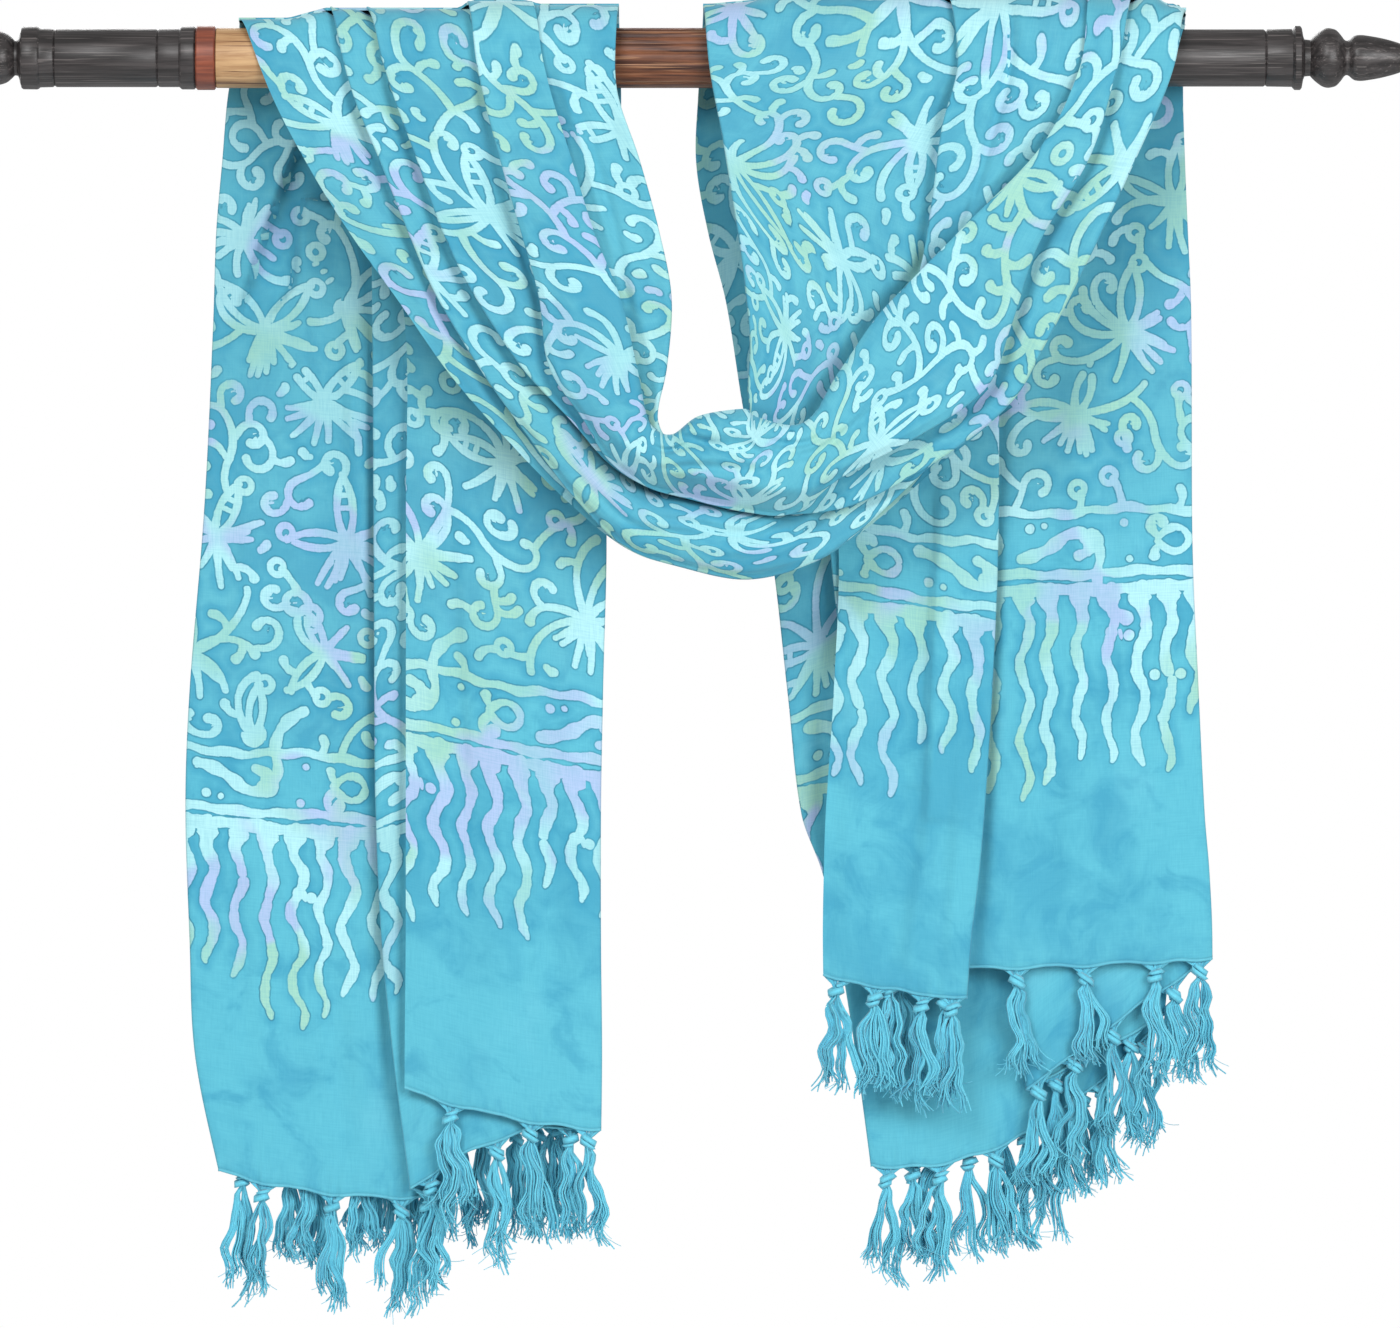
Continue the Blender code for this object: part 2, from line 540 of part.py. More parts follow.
def make_fringe(fall, number, knots, name):
    line = hem_line(fall, number)
    half_neck = NECK_WIDTH / 2
    stations = [line[0].x + STRIP_MARGIN, line[-1].x - STRIP_MARGIN]
    stations += [p.x for p in line[1:-1] if all(abs(p.x - x) > NECK_WIDTH for x in knots)]
    for x in knots:
        stations += [x - half_neck, x + half_neck]
    stations.sort()
    half = CLOTH_THICKNESS / 2
    points = []
    for x in stations:
        hem = hem_point(line, x)
        top = -SEAM_GAP - HEM_BEND
        bottom = top - STRIP_HEIGHT
        for y, z in ((-half, top), (-half, bottom), (half, bottom), (half, top)):
            points.append(hem + Vector((0, y, z)))
    faces = [(0, 1, 2, 3)]
    necks = {round(x - half_neck, 3): x for x in knots}
    for i, x in enumerate(stations[:-1]):
        a = 4 * i
        b = a + 4
        faces.append((a, b, b + 1, a + 1))
        faces.append((a + 3, b + 3, b + 2, a + 2))
        faces.append((a, b, b + 3, a + 3))
        if round(x, 3) in necks:
            ring = [a + 1, b + 1, b + 2, a + 2]
            centre = sum((Vector(points[n]) for n in ring), Vector()) / 4
            add_tassel(points, faces, ring, centre, necks[round(x, 3)] * 0.37 + number)
        else:
            faces.append((a + 1, b + 1, b + 2, a + 2))
    last = 4 * (len(stations) - 1)
    faces.append((last, last + 1, last + 2, last + 3))
    add_object(name, points, faces, "fringe_yarn")


# ---- rod ----


def turned(name, profile, material_name):
    """A solid turned round the x axis."""
    points = []
    for x, radius in profile:
        for i in range(LATHE_SIDES):
            angle = 2 * math.pi * i / LATHE_SIDES
            points.append((x, radius * math.cos(angle), radius * math.sin(angle)))
    faces = []
    for j in range(len(profile) - 1):
        for i in range(LATHE_SIDES):
            n = (i + 1) % LATHE_SIDES
            a = j * LATHE_SIDES
            b = a + LATHE_SIDES
            faces.append((a + i, a + n, b + n, b + i))
    faces.append(tuple(range(LATHE_SIDES)))
    last = (len(profile) - 1) * LATHE_SIDES
    faces.append(tuple(range(last, last + LATHE_SIDES)))
    made = add_object(name, points, faces, material_name)
    made.data.shade_smooth()
    made.data.set_sharp_from_angle(angle=math.radians(40))


def make_shaft():
    """The fluted middle of the rod: shallow grooves run along it."""
    points = []
    sides = FLUTE_COUNT * 3
    for x in (SHAFT_START, SHAFT_END):
        for i in range(sides):
            angle = 2 * math.pi * i / sides
            radius = ROD_RADIUS - (FLUTE_DEPTH if i % 3 == 0 else 0.0)
            points.append((x, radius * math.cos(angle), radius * math.sin(angle)))
    faces = [(i, (i + 1) % sides, sides + (i + 1) % sides, sides + i) for i in range(sides)]
    faces += [tuple(range(sides)), tuple(range(sides, 2 * sides))]
    add_object("rod_shaft", points, faces, "red_wood")


def make_rod():
    make_shaft()
    turned("rod_sleeve", ((SLEEVE_START, ROD_RADIUS), (SLEEVE_END, ROD_RADIUS)), "pale_wood")
    turned("rod_band", ((BAND_START, 17.6), (BAND_END, 17.6)), "band_wood")
    turned("rod_handle_left", LEFT_HANDLE, "dark_wood")
    turned("rod_handle_right", RIGHT_HANDLE, "dark_wood")


def main():
    clear_scene()
    make_rod()
    make_swag()
    for fall, tassels in ((LEFT_FALL, LEFT_TASSELS), (RIGHT_FALL, RIGHT_TASSELS)):
        make_fall(fall)
        side = fall["name"].split("_")[0]
        for number, (_, knots) in enumerate(tassels):
            make_fringe(fall, number, sorted(knots), f"fringe_{side}_{number + 1}")


main()
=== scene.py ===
"""Batik sarong draped over a turned wooden rod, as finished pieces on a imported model.

Run as a script. Tables are in millimetres from the middle of the rod: +X to the right, +Z up and -Y
to the front. Meshes are made in metres.
"""

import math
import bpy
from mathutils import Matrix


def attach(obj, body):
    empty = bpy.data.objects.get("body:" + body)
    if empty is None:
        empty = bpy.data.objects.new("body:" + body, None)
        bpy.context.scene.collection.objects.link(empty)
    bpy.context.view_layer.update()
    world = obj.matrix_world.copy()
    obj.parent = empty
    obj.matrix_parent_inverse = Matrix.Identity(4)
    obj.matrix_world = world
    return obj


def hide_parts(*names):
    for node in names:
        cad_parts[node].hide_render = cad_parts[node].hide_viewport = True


bl_info = {
    "name": "Draped Batik Sarong",
    "version": (1, 0, 0),
    "blender": (4, 5, 0),
    "location": "View3D > Sidebar > Sarong",
    "description": "Makes a batik sarong with a knotted fringe, draped over a turned wooden rod",
    "category": "Add Mesh",
}

import bpy
import numpy as np
from mathutils import Vector, noise
from mathutils.kdtree import KDTree

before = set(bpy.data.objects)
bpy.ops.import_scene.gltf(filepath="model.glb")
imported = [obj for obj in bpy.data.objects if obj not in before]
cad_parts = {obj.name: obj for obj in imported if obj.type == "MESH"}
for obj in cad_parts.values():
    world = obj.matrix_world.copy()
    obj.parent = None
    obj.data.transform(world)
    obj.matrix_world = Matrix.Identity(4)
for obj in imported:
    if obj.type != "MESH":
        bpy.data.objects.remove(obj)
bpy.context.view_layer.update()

MM = 0.001

# ---- rod and drape sizes, mm ----
LAY_RADIUS = 18.2  # from the rod's axis to the cloth that lies on it
QUARTER_WRAP = LAY_RADIUS * math.pi / 2
LAYER_STEP_ON_ROD = 2.2
TURN_STEPS = 5
FIRST_HANGING_DROP = 46.0  # from the crest down to the first row that hangs free

# The swag, a row for each section from the left crest of the rod to the right one. outer and inner
# are the ends of the section, and fold_1 .. fold_7 say where each fold lies between them, 0 at the
# outer edge. Fold 0 is the selvage at the outer edge. back is how far the rearmost layer stands off
# the rod, step is the spacing of the layers, and puff is how far the rolls swell forwards.
SWAG_SECTIONS = (
    # name, outer_x, outer_z, inner_x, inner_z, fold_1, fold_2 .. fold_7, back, step, puff
    ("left_2", -235.4, -20.4, -45.7, -16.5, 0.95, 0.235, 0.96, 0.35, 1.0, 0.61, 0.806, 0.0, 2.4, 0.0),
    ("left_3", -214.0, -61.6, -33.0, -57.2, 0.95, 0.219, 0.96, 0.331, 1.0, 0.58, 0.796, 0.5, 2.7, 2.0),
    ("left_4", -191.4, -97.9, -22.0, -97.4, 0.95, 0.188, 0.96, 0.30, 1.0, 0.552, 0.789, 1.5, 3.0, 4.0),
    ("left_5", -165.0, -134.8, -15.4, -133.1, 0.95, 0.147, 0.96, 0.287, 1.0, 0.515, 0.812, 2.5, 3.4, 5.0),
    ("left_6", -136.4, -175.5, -17.6, -168.9, 0.94, 0.148, 0.96, 0.34, 1.0, 0.458, 0.856, 4.0, 3.8, 6.0),
    ("left_7", -104.5, -211.8, -22.0, -190.3, 0.92, 0.127, 0.95, 0.433, 1.0, 0.50, 0.90, 5.5, 4.3, 8.0),
    ("left_8", -73.2, -243.7, -20.9, -200.2, 0.90, 0.06, 0.94, 0.45, 0.97, 0.465, 0.91, 7.0, 4.8, 10.0),
    ("belly_1", -41.2, -269.5, -13.2, -203.5, 0.86, 0.0, 0.88, 0.49, 0.90, 0.485, 0.93, 8.5, 5.2, 12.0),
    ("belly_2", -9.9, -280.5, 0.0, -194.7, 0.86, 0.0, 0.88, 0.44, 0.90, 0.43, 0.96, 9.5, 5.5, 13.0),
    ("belly_3", 25.9, -287.1, 24.2, -192.5, 0.86, 0.0, 0.90, 0.395, 0.88, 0.385, 0.98, 10.0, 5.6, 14.0),
    ("belly_4", 61.1, -278.3, 24.8, -179.9, 0.86, 0.0, 0.97, 0.27, 0.76, 0.275, 0.805, 10.0, 5.5, 13.0),
    ("right_8", 91.3, -259.1, 27.0, -155.1, 0.90, 0.01, 1.0, 0.12, 0.48, 0.25, 0.55, 9.0, 5.0, 10.0),
    ("right_7", 129.2, -226.1, 24.2, -124.9, 0.93, 0.02, 1.0, 0.02, 0.46, 0.14, 0.512, 7.5, 4.6, 8.0),
    ("right_6", 168.3, -192.5, 20.9, -100.1, 0.94, 0.02, 1.0, 0.0, 0.45, 0.09, 0.50, 6.0, 4.1, 6.0),
    ("right_5", 188.7, -159.0, 16.5, -72.6, 0.95, 0.02, 1.0, 0.0, 0.41, 0.11, 0.42, 4.5, 3.7, 5.0),
    ("right_4", 211.8, -113.9, 12.1, -45.1, 0.96, 0.02, 1.0, 0.0, 0.43, 0.135, 0.325, 3.0, 3.3, 4.0),
    ("right_3", 236.5, -61.6, 6.6, -16.5, 0.97, 0.02, 1.0, 0.0, 0.455, 0.103, 0.222, 1.0, 2.8, 2.0),
    ("right_2", 257.4, -13.2, 3.9, 3.3, 0.97, 0.02, 1.0, 0.0, 0.46, 0.119, 0.20, 0.0, 2.4, 0.0),
)
SWAG_CRESTS = (
    ("left_1", -253.6, 16.0, -44.6, 16.0, 0.95, 0.24, 0.96, 0.335, 1.0, 0.60, 0.768, 0.0, 2.2, 0.0),
    ("right_1", 267.3, 16.0, 1.7, 16.0, 0.97, 0.02, 1.0, 0.0, 0.493, 0.11, 0.20, 0.0, 2.2, 0.0),
)

# Each fall hangs behind the rod. A row gives a height on the cloth and the x of each fold there, and
# hem_z is the height at which each fold ends. Fold 0 is the selvage in front.
LEFT_FALL = {
    "name": "left_fall",
    "fold_x": (
        # z, fold_0 .. fold_7
        (17.0, -204.1, -110.0, -183.7, -77.0, -253.6, -44.6, -128.2, -93.0),
        (-19.8, -195.3, -97.9, -182.6, -71.5, -260.7, -43.5, -143.0, -83.6),
        (-56.1, -185.9, -85.2, -182.1, -67.1, -264.0, -44.0, -154.0, -79.2),
        (-94.6, -174.9, -71.5, -181.5, -63.8, -267.3, -45.1, -165.0, -75.9),
        (-145.2, -162.8, -59.4, -181.0, -60.5, -269.0, -48.4, -180.4, -72.6),
        (-246.4, -162.2, -51.7, -180.4, -58.3, -273.9, -52.8, -203.5, -69.3),
        (-349.8, -162.2, -53.4, -179.9, -59.4, -282.2, -56.1, -217.3, -69.3),
        (-411.4, -162.2, -54.5, -179.3, -61.6, -284.4, -58.3, -222.8, -70.4),
        (-485.1, -162.2, -54.5, -176.0, -68.0, -282.2, -60.5, -226.6, -71.5),
        (-551.1, -162.8, -53.9, -169.4, -104.0, -278.9, -61.6, -228.8, -72.6),
        (-628.1, -162.8, -55.0, -159.5, -140.0, -262.9, -62.7, -231.0, -73.7),
    ),
    "hem_z": (-566.5, -588.5, -622.0, -626.0, -612.7, -580.0, -606.0, -584.0),
    "hem_sag": (4.0, -12.0, 0.0, 6.0, 0.0, -4.0, -4.0),
    "slack_on_rod": ((-226.0, 2.5), (-206.0, 0.0)),
}
RIGHT_FALL = {
    "name": "right_fall",
    "fold_x": (
        # z, fold_0 .. fold_8
        (17.0, 55.0, 165.0, 33.0, 267.3, 55.0, 264.0, 1.7, 253.0, 33.0),
        (-19.8, 57.8, 165.0, 38.5, 266.8, 63.3, 264.0, -1.1, 255.8, 38.5),
        (-56.1, 59.4, 165.0, 44.0, 267.9, 74.2, 264.0, -2.2, 257.4, 44.0),
        (-94.6, 61.6, 165.0, 49.5, 269.5, 88.0, 264.6, 4.4, 258.5, 49.5),
        (-133.1, 64.9, 165.0, 55.0, 271.2, 101.8, 265.1, 14.3, 259.6, 55.0),
        (-194.2, 70.4, 165.0, 63.3, 271.7, 121.0, 265.7, 24.2, 260.7, 66.0),
        (-270.1, 76.5, 164.5, 71.5, 272.2, 143.0, 266.2, 39.1, 261.2, 77.0),
        (-349.2, 73.7, 161.2, 79.8, 275.6, 156.8, 266.2, 48.4, 261.2, 85.2),
        (-416.4, 69.3, 156.8, 83.6, 278.9, 165.0, 265.1, 56.1, 259.6, 90.8),
        (-448.8, 68.2, 154.0, 85.2, 281.6, 169.4, 264.0, 67.7, 257.4, 94.6),
        (-486.8, 67.7, 149.6, 86.9, 283.2, 172.7, 261.2, 75.9, 253.0, 99.0),
        (-542.9, 68.8, 146.3, 88.0, 282.2, 178.2, 255.8, 85.2, 247.5, 104.5),
        (-611.6, 70.4, 146.3, 88.0, 282.2, 182.1, 253.0, 94.6, 244.8, 110.0),
    ),
    "hem_z": (-503.3, -515.9, -500.5, -494.5, -567.1, -526.4, -610.0, -534.6, -595.1),
    "hem_sag": (2.0, 0.0, 2.0, -2.0, 0.0, 26.0, 20.0, 16.0),
    "slack_on_rod": ((6.0, 1.0), (30.0, 0.0)),
}

# How the layers of a fall part, lean and wave below the rod
FALL_STEP_AT_HEM = 5.2
FALL_STEP_LENGTH = 0.8
FALL_LEAN = 7.0
FALL_LENGTH = 620.0
FALL_SLACK_FADE = 40.0
WAVE_DEPTH, WAVE_WIDTH, WAVE_PHASE = 2.6, 250.0, 0.4
WAVE_FADE = 260.0
RELIEF_FULLNESS = 0.4
FALL_RIPPLES = (
    # share of the drop, size, depth
    (0.45, 34.0, 1.6),
    (0.8, 15.0, 0.35),
)
FALL_RIPPLE_FADE = 60.0

# The two rolls of the belly, and how the layers are pressed together at the crease between them
LOWER_ROLL_PASS, UPPER_ROLL_PASS, UPPER_ROLL_FOLD = 2, 6, 4
LOWER_ROLL_SWELL, UPPER_ROLL_SWELL = 0.8, 0.9
ROLL_FULLNESS = 0.45  # below 1 the rolls are full and the crease is narrow
SQUEEZE, SQUEEZE_REACH = 0.62, 15.0
LEAST_CREASE, CREASE_FLOOR = 0.2, 0.05
LOWER_ROLL_FADE = 0.2
SWAG_RELIEF_FADE = 20.0
SWAG_RIPPLE_SIZE, SWAG_RIPPLE_DEPTH, SWAG_RIPPLE_FADE = 46.0, 2.2, 40.0

# The hem gathers to its knots: how far it is drawn down, and how it puckers
GATHER_HEIGHT, GATHER_REACH = 40.0, 16.0
GATHER_DOWN, GATHER_DOWN_FADE = 1.8, 7.0
PUCKER, PUCKER_TURN, PUCKER_FADE = 0.9, 1.15, 9.0
HEM_WAVE, HEM_WAVE_TURN, HEM_WAVE_FADE = 0.5, 0.71, 5.0

# How many quads lie across each pass of the folded cloth, more where it shows
SWAG_COUNTS = (54, 16, 72, 70, 54, 46, 36)
LEFT_COUNTS = (42, 38, 10, 80, 46, 18, 56)
RIGHT_COUNTS = (36, 10, 74, 50, 14, 66, 16, 64)
SWAG_ROWS = 258
CREST_ROWS, CREST_ROWS_STOP = 9, 4.0  # rows on the rod, and how far above the first hanging row they end
LEFT_HANGING_ROWS = 286
RIGHT_HANGING_ROWS = 252

# The turn of cloth over the crest, where the swag goes on into the falls
CREST_FRONT, CREST_REAR, CREST_STEPS = -0.14, 0.66, 20
CREST_PITCH = 2.4
CREST_LIFT = 0.7
CREST_SLOPE = 27.0  # length of cloth down from the crest over which the falls' layers lift the swag
CREST_TUCK, CREST_TUCK_TURN = 1.5, 0.1
SETTLE_START, SETTLE_TURN = 0.02, 0.28
CREST_SOFTENING = (-3.0, -1.5, 0.0, 1.5, 3.0)

# How much more cloth lies across the belly of the swag than shows, and where along the sections
BELLY_FULLNESS, BELLY_SECTION, BELLY_REACH = 1.35, 10.0, 6.0

# Folds of the swag whose edge shows, each with the last pass that lies under it. The edge stands up
# and the cloth under it dips.
VISIBLE_FOLDS = ((2, 0), (4, 2), (5, 3), (6, 4), (7, 5))
EDGE_REACH, EDGE_LIFT, EDGE_DIP = 9.0, 1.6, 4.4
FRONT_OF_ROD = 0.25  # share of the lift and dip where the cloth lies against the rod
EDGE_FADE_ON_ROD, EDGE_FADE_BELOW = 14.0, 30.0
CALM_IN_BELLY, CALM_REACH = 0.75, 4.5

# Soft ridges (height above 0) and troughs on the visible passes of the swag. along and across are
# the middle of each one, in section numbers and in shares of the pass.
SWAG_RELIEF = (
    # pass, along, half_length, across_start, across_end, half_width, height
    (0, 4.0, 4.5, 0.10, 0.13, 0.10, 3.0),
    (4, 4.0, 4.5, 0.18, 0.20, 0.16, 3.2),
    (4, 7.0, 2.5, 0.30, 0.36, 0.07, -1.6),
    (5, 4.5, 4.0, 0.55, 0.50, 0.30, 2.6),
    (6, 5.0, 4.0, 0.50, 0.50, 0.50, 3.0),
    (2, 8.5, 2.5, 0.10, 0.30, 0.07, -2.2),
    (2, 10.5, 2.5, 0.20, 0.08, 0.06, 1.6),
    (6, 9.3, 1.8, 0.30, 0.42, 0.09, -3.4),
    (6, 10.2, 1.7, 0.66, 0.55, 0.11, -3.8),
    (6, 8.4, 1.3, 0.70, 0.60, 0.09, -3.6),
    (6, 9.0, 1.1, 0.95, 0.45, 0.08, -4.0),
    (6, 10.1, 1.2, 0.84, 0.80, 0.16, 3.6),
    (6, 11.4, 1.4, 0.80, 0.62, 0.09, -3.4),
    (6, 12.4, 1.6, 0.55, 0.40, 0.10, -2.6),
    (2, 9.6, 2.0, 0.34, 0.26, 0.05, -2.2),
    (2, 11.2, 1.8, 0.12, 0.20, 0.05, -1.8),
    (5, 18.0, 3.4, 0.34, 0.30, 0.05, -3.0),
    (5, 18.0, 3.4, 0.46, 0.42, 0.15, 2.6),
    (3, 17.0, 3.0, 0.62, 0.66, 0.12, 2.4),
    (3, 16.0, 2.6, 0.36, 0.42, 0.07, -1.8),
    (4, 2.5, 2.5, 0.30, 0.34, 0.05, -2.2),
    (5, 3.0, 2.6, 0.30, 0.34, 0.07, -2.4),
    (5, 14.5, 3.5, 0.45, 0.50, 0.26, 3.4),
    (5, 13.0, 2.2, 0.75, 0.66, 0.09, -1.8),
    (3, 15.5, 3.0, 0.20, 0.26, 0.10, 2.0),
)

# Soft ridges and troughs down the falls, from a top end to a bottom end, on every layer from
# first_level back. One with a narrow side stands up sharply there, like the edge of a pleat.
LEFT_RELIEF = (
    # first_level, x_top, z_top, x_bottom, z_bottom, left_width, right_width, height
    (0, -236.0, -70.0, -252.0, -330.0, 12.0, 12.0, 2.0),
    (0, -205.0, -90.0, -214.0, -420.0, 16.0, 16.0, -2.4),
    (0, -120.0, -270.0, -112.0, -560.0, 20.0, 20.0, 2.0),
    (0, -84.0, -300.0, -80.0, -520.0, 12.0, 12.0, -1.8),
    (0, -245.0, -420.0, -236.0, -600.0, 14.0, 14.0, 2.2),
    (0, -205.0, -480.0, -196.0, -610.0, 12.0, 12.0, -2.0),
    (1, -164.0, -110.0, -162.5, -600.0, 7.0, 8.0, -4.5),
    (3, -182.0, -80.0, -170.0, -600.0, 8.0, 12.0, -5.0),
    (3, -200.0, -88.0, -188.0, -300.0, 2.6, 16.0, 2.2),
    (3, -233.0, -84.0, -150.0, -92.0, 60.0, 60.0, -1.2),
    (3, -222.0, -96.0, -212.0, -230.0, 9.0, 3.0, -2.0),
    (0, -140.0, -210.0, -128.0, -420.0, 14.0, 4.0, -1.8),
)
RIGHT_RELIEF = (
    (0, 196.0, -130.0, 190.0, -480.0, 16.0, 16.0, -2.6),
    (0, 240.0, -90.0, 250.0, -470.0, 20.0, 20.0, 2.2),
    (0, 226.0, -200.0, 216.0, -500.0, 10.0, 10.0, -1.8),
    (0, 112.0, -270.0, 100.0, -500.0, 14.0, 14.0, -2.2),
    (0, 90.0, -300.0, 80.0, -490.0, 10.0, 10.0, 1.6),
    (0, 133.0, -225.0, 124.0, -420.0, 1.8, 32.0, 5.4),
    (0, 122.0, -225.0, 115.0, -430.0, 16.0, 11.0, -3.6),
    (0, 121.0, -400.0, 106.0, -506.0, 15.0, 9.0, -3.4),
    (0, 148.0, -330.0, 138.0, -508.0, 7.0, 12.0, 2.2),
    (2, 168.0, -90.0, 150.0, -520.0, 9.0, 10.0, -5.5),
    (5, 64.0, -330.0, 82.0, -560.0, 8.0, 8.0, -2.5),
    (0, 130.0, -520.0, 126.0, -600.0, 14.0, 14.0, 1.6),
)

# The turned-back corner below the left crest: the edge of the flap and of the layer under it
LEFT_FLAP = (
    # z, x of the flap's edge, x of the next layer's edge
    (-20.0, -214.0, -205.0),
    (-46.0, -222.0, -212.0),
    (-95.0, -241.0, -224.0),
    (-124.0, -250.0, -226.0),
    (-143.0, -256.0, -240.0),
)
FLAP_DEPTH, FLAP_CURL, FLAP_CURL_REACH = 12.0, 3.0, 16.0
FLAP_BOTTOM, FLAP_FADE, FLAP_TOP_FADE = -150.0, 30.0, 20.0
FLAP_EDGE_START, FLAP_EDGE_WIDTH, LAYER_EDGE_WIDTH = -1.5, 3.2, 3.0
# Above a slanting line the hollow reaches further right, to where the layer comes forward
HOLLOW_X, HOLLOW_Z, HOLLOW_SLANT, HOLLOW_EDGE = -233.0, -71.0, 0.2, 2.5
HOLLOW_END, HOLLOW_END_FADE = -150.0, 40.0

# Tassels: x of each knot along the hem of each pass, front pass first
LEFT_TASSELS = (
    (-137.5, -93.5, -61.6),
    (-71.5, -112.0, -148.0),
    (-150.0,),
    (-242.0, -203.5, -165.0),
    (-253.0, -218.5, -190.0, -140.0, -102.0, -77.0),
    (-82.0, -120.0, -157.0, -182.0, -226.0),
    (-210.0, -172.0, -132.0, -90.0),
)
RIGHT_TASSELS = (
    (75.0, 96.0, 122.0, 138.8),
    (135.0, 105.0),
    (110.0, 174.9, 212.8, 251.4, 276.0),
    (187.0, 207.0, 228.0, 262.0),
    (197.0, 238.0),
    (103.4, 133.1, 163.9, 192.0, 222.0, 246.0),
    (118.0, 149.0, 180.0, 212.0),
    (203.0, 168.0, 130.0),
)


# ---- shape of the hanging cloth ----


def smooth(x):
    x = min(1.0, max(0.0, x))
    return x * x * (3.0 - 2.0 * x)


def blend(start, end, share):
    return start + (end - start) * share


def bump(x):
    """1 at x = 0, falling softly to 0 at x = -1 and 1."""
    return (1.0 - x * x) ** 2 if abs(x) < 1.0 else 0.0


def spline(rows, x, column):
    """Catmull-Rom through the rows' column, by the rows' first value, which rises or falls."""
    keys = [row[0] for row in rows]
    sign = 1.0 if keys[-1] > keys[0] else -1.0
    if (x - keys[0]) * sign <= 0.0:
        return rows[0][column]
    if (x - keys[-1]) * sign >= 0.0:
        return rows[-1][column]
    i = max(j for j in range(len(keys) - 1) if (x - keys[j]) * sign >= 0.0)
    before = rows[max(i - 1, 0)]
    start = rows[i]
    end = rows[i + 1]
    after = rows[min(i + 2, len(rows) - 1)]
    span = end[0] - start[0]
    u = (x - start[0]) / span
    slope_in = (end[column] - before[column]) / (end[0] - before[0]) * span
    slope_out = (after[column] - start[column]) / (after[0] - start[0]) * span
    return (
        (2 * u**3 - 3 * u**2 + 1) * start[column]
        + (u**3 - 2 * u**2 + u) * slope_in
        + (-2 * u**3 + 3 * u**2) * end[column]
        + (u**3 - u**2) * slope_out
    )


def line_between(rows, x):
    """Straight-line value of a two-column table."""
    if x <= rows[0][0]:
        return rows[0][1]
    for (x0, v0), (x1, v1) in zip(rows, rows[1:]):
        if x <= x1:
            return v0 + (v1 - v0) * (x - x0) / (x1 - x0)
    return rows[-1][1]


def drop_at(z):
    """Distance down the cloth from the crest of the rod to height z."""
    if z >= LAY_RADIUS:
        return 0.0
    if z > 0.0:
        return LAY_RADIUS * math.acos(z / LAY_RADIUS)
    return QUARTER_WRAP - z


def hang(x, drop, height, back, side):
    """A point of cloth: round the rod, then straight down. side is -1 in front and +1 behind."""
    if drop < QUARTER_WRAP:
        angle = drop / LAY_RADIUS
        radius = LAY_RADIUS + height
        return Vector((x, side * radius * math.sin(angle), radius * math.cos(angle)))
    return Vector((x, side * (LAY_RADIUS + back + height), QUARTER_WRAP - drop))


def folded_row(folds, levels, turn_radii, counts, place):
    """One row of folded cloth: (point, pass, flat x, flat drop, share of the pass) for each vertex.

    folds are (x, drop) of each fold, levels the height of each pass and counts the quads across it.
    place(x, drop, height, pass, share) gives the point.
    """
    last = len(folds) - 1
    outward = []
    for k in range(last + 1):
        near = [folds[j] for j in (k - 1, k + 1) if 0 <= j <= last]
        middle_x = sum(p[0] for p in near) / len(near)
        middle_drop = sum(p[1] for p in near) / len(near)
        away = Vector((folds[k][0] - middle_x, folds[k][1] - middle_drop))
        outward.append(away.normalized())
    row = []
    for k in range(last):
        start = Vector(folds[k]) - outward[k] * turn_radii[k]
        end = Vector(folds[k + 1]) - outward[k + 1] * turn_radii[k + 1]
        for i in range(counts[k] + 1):
            flat = start.lerp(end, i / counts[k])
            at = place(flat.x, flat.y, levels[k], k, i / counts[k])
            row.append((at, k, flat.x, flat.y, i / counts[k]))
        if k + 1 == last:
            break
        for i in range(1, TURN_STEPS):
            angle = -math.pi / 2 + math.pi * i / TURN_STEPS
            flat = end + outward[k + 1] * turn_radii[k + 1] * math.cos(angle)
            middle = (levels[k] + levels[k + 1]) / 2
            height = middle + (levels[k + 1] - levels[k]) / 2 * math.sin(angle)
            before = 2 * i < TURN_STEPS
            on_pass, u = (k, 1.0) if before else (k + 1, 0.0)
            row.append((place(flat.x, flat.y, height, on_pass, u), on_pass, flat.x, flat.y, u))
    return row


def ripple(x, drop, size, depth):
    """Small uneven waves of soft cloth."""
    return depth * noise.noise(Vector((x / size, drop / size, 0.0)))


# ---- crests ----


def top_height(folds, x, slack):
    """Height of the top layer at x. folds are the x of each fold, and layers rise with their number."""
    spans = [sorted(folds[k : k + 2]) for k in range(len(folds) - 1)]
    levels = [k for k, (low, high) in enumerate(spans) if low - 0.5 <= x <= high + 0.5]
    return LAYER_STEP_ON_ROD * (max(levels) - slack) if levels else 0.0


def crest_profile(crest, fall):
    """(x, height of the swag's top layer, height of the fall's top layer) along a crest."""
    outer, inner = crest[1], crest[3]
    in_front = [outer] + [blend(outer, inner, share) for share in crest[5:12]]
    behind = list(fall["fold_x"][0][1:])
    low = min(*in_front, *behind)
    high = max(*in_front, *behind)
    count = int((high - low) / CREST_PITCH)
    profile = []
    for i in range(count + 1):
        x = blend(low, high, i / count)
        near = [min(high, max(low, x + away)) for away in CREST_SOFTENING]
        slack = line_between(fall["slack_on_rod"], x)
        front = sum(top_height(in_front, at, 0.0) for at in near) / len(near)
        rear = sum(top_height(behind, at, slack) for at in near) / len(near)
        profile.append((x, front, rear))
    return profile


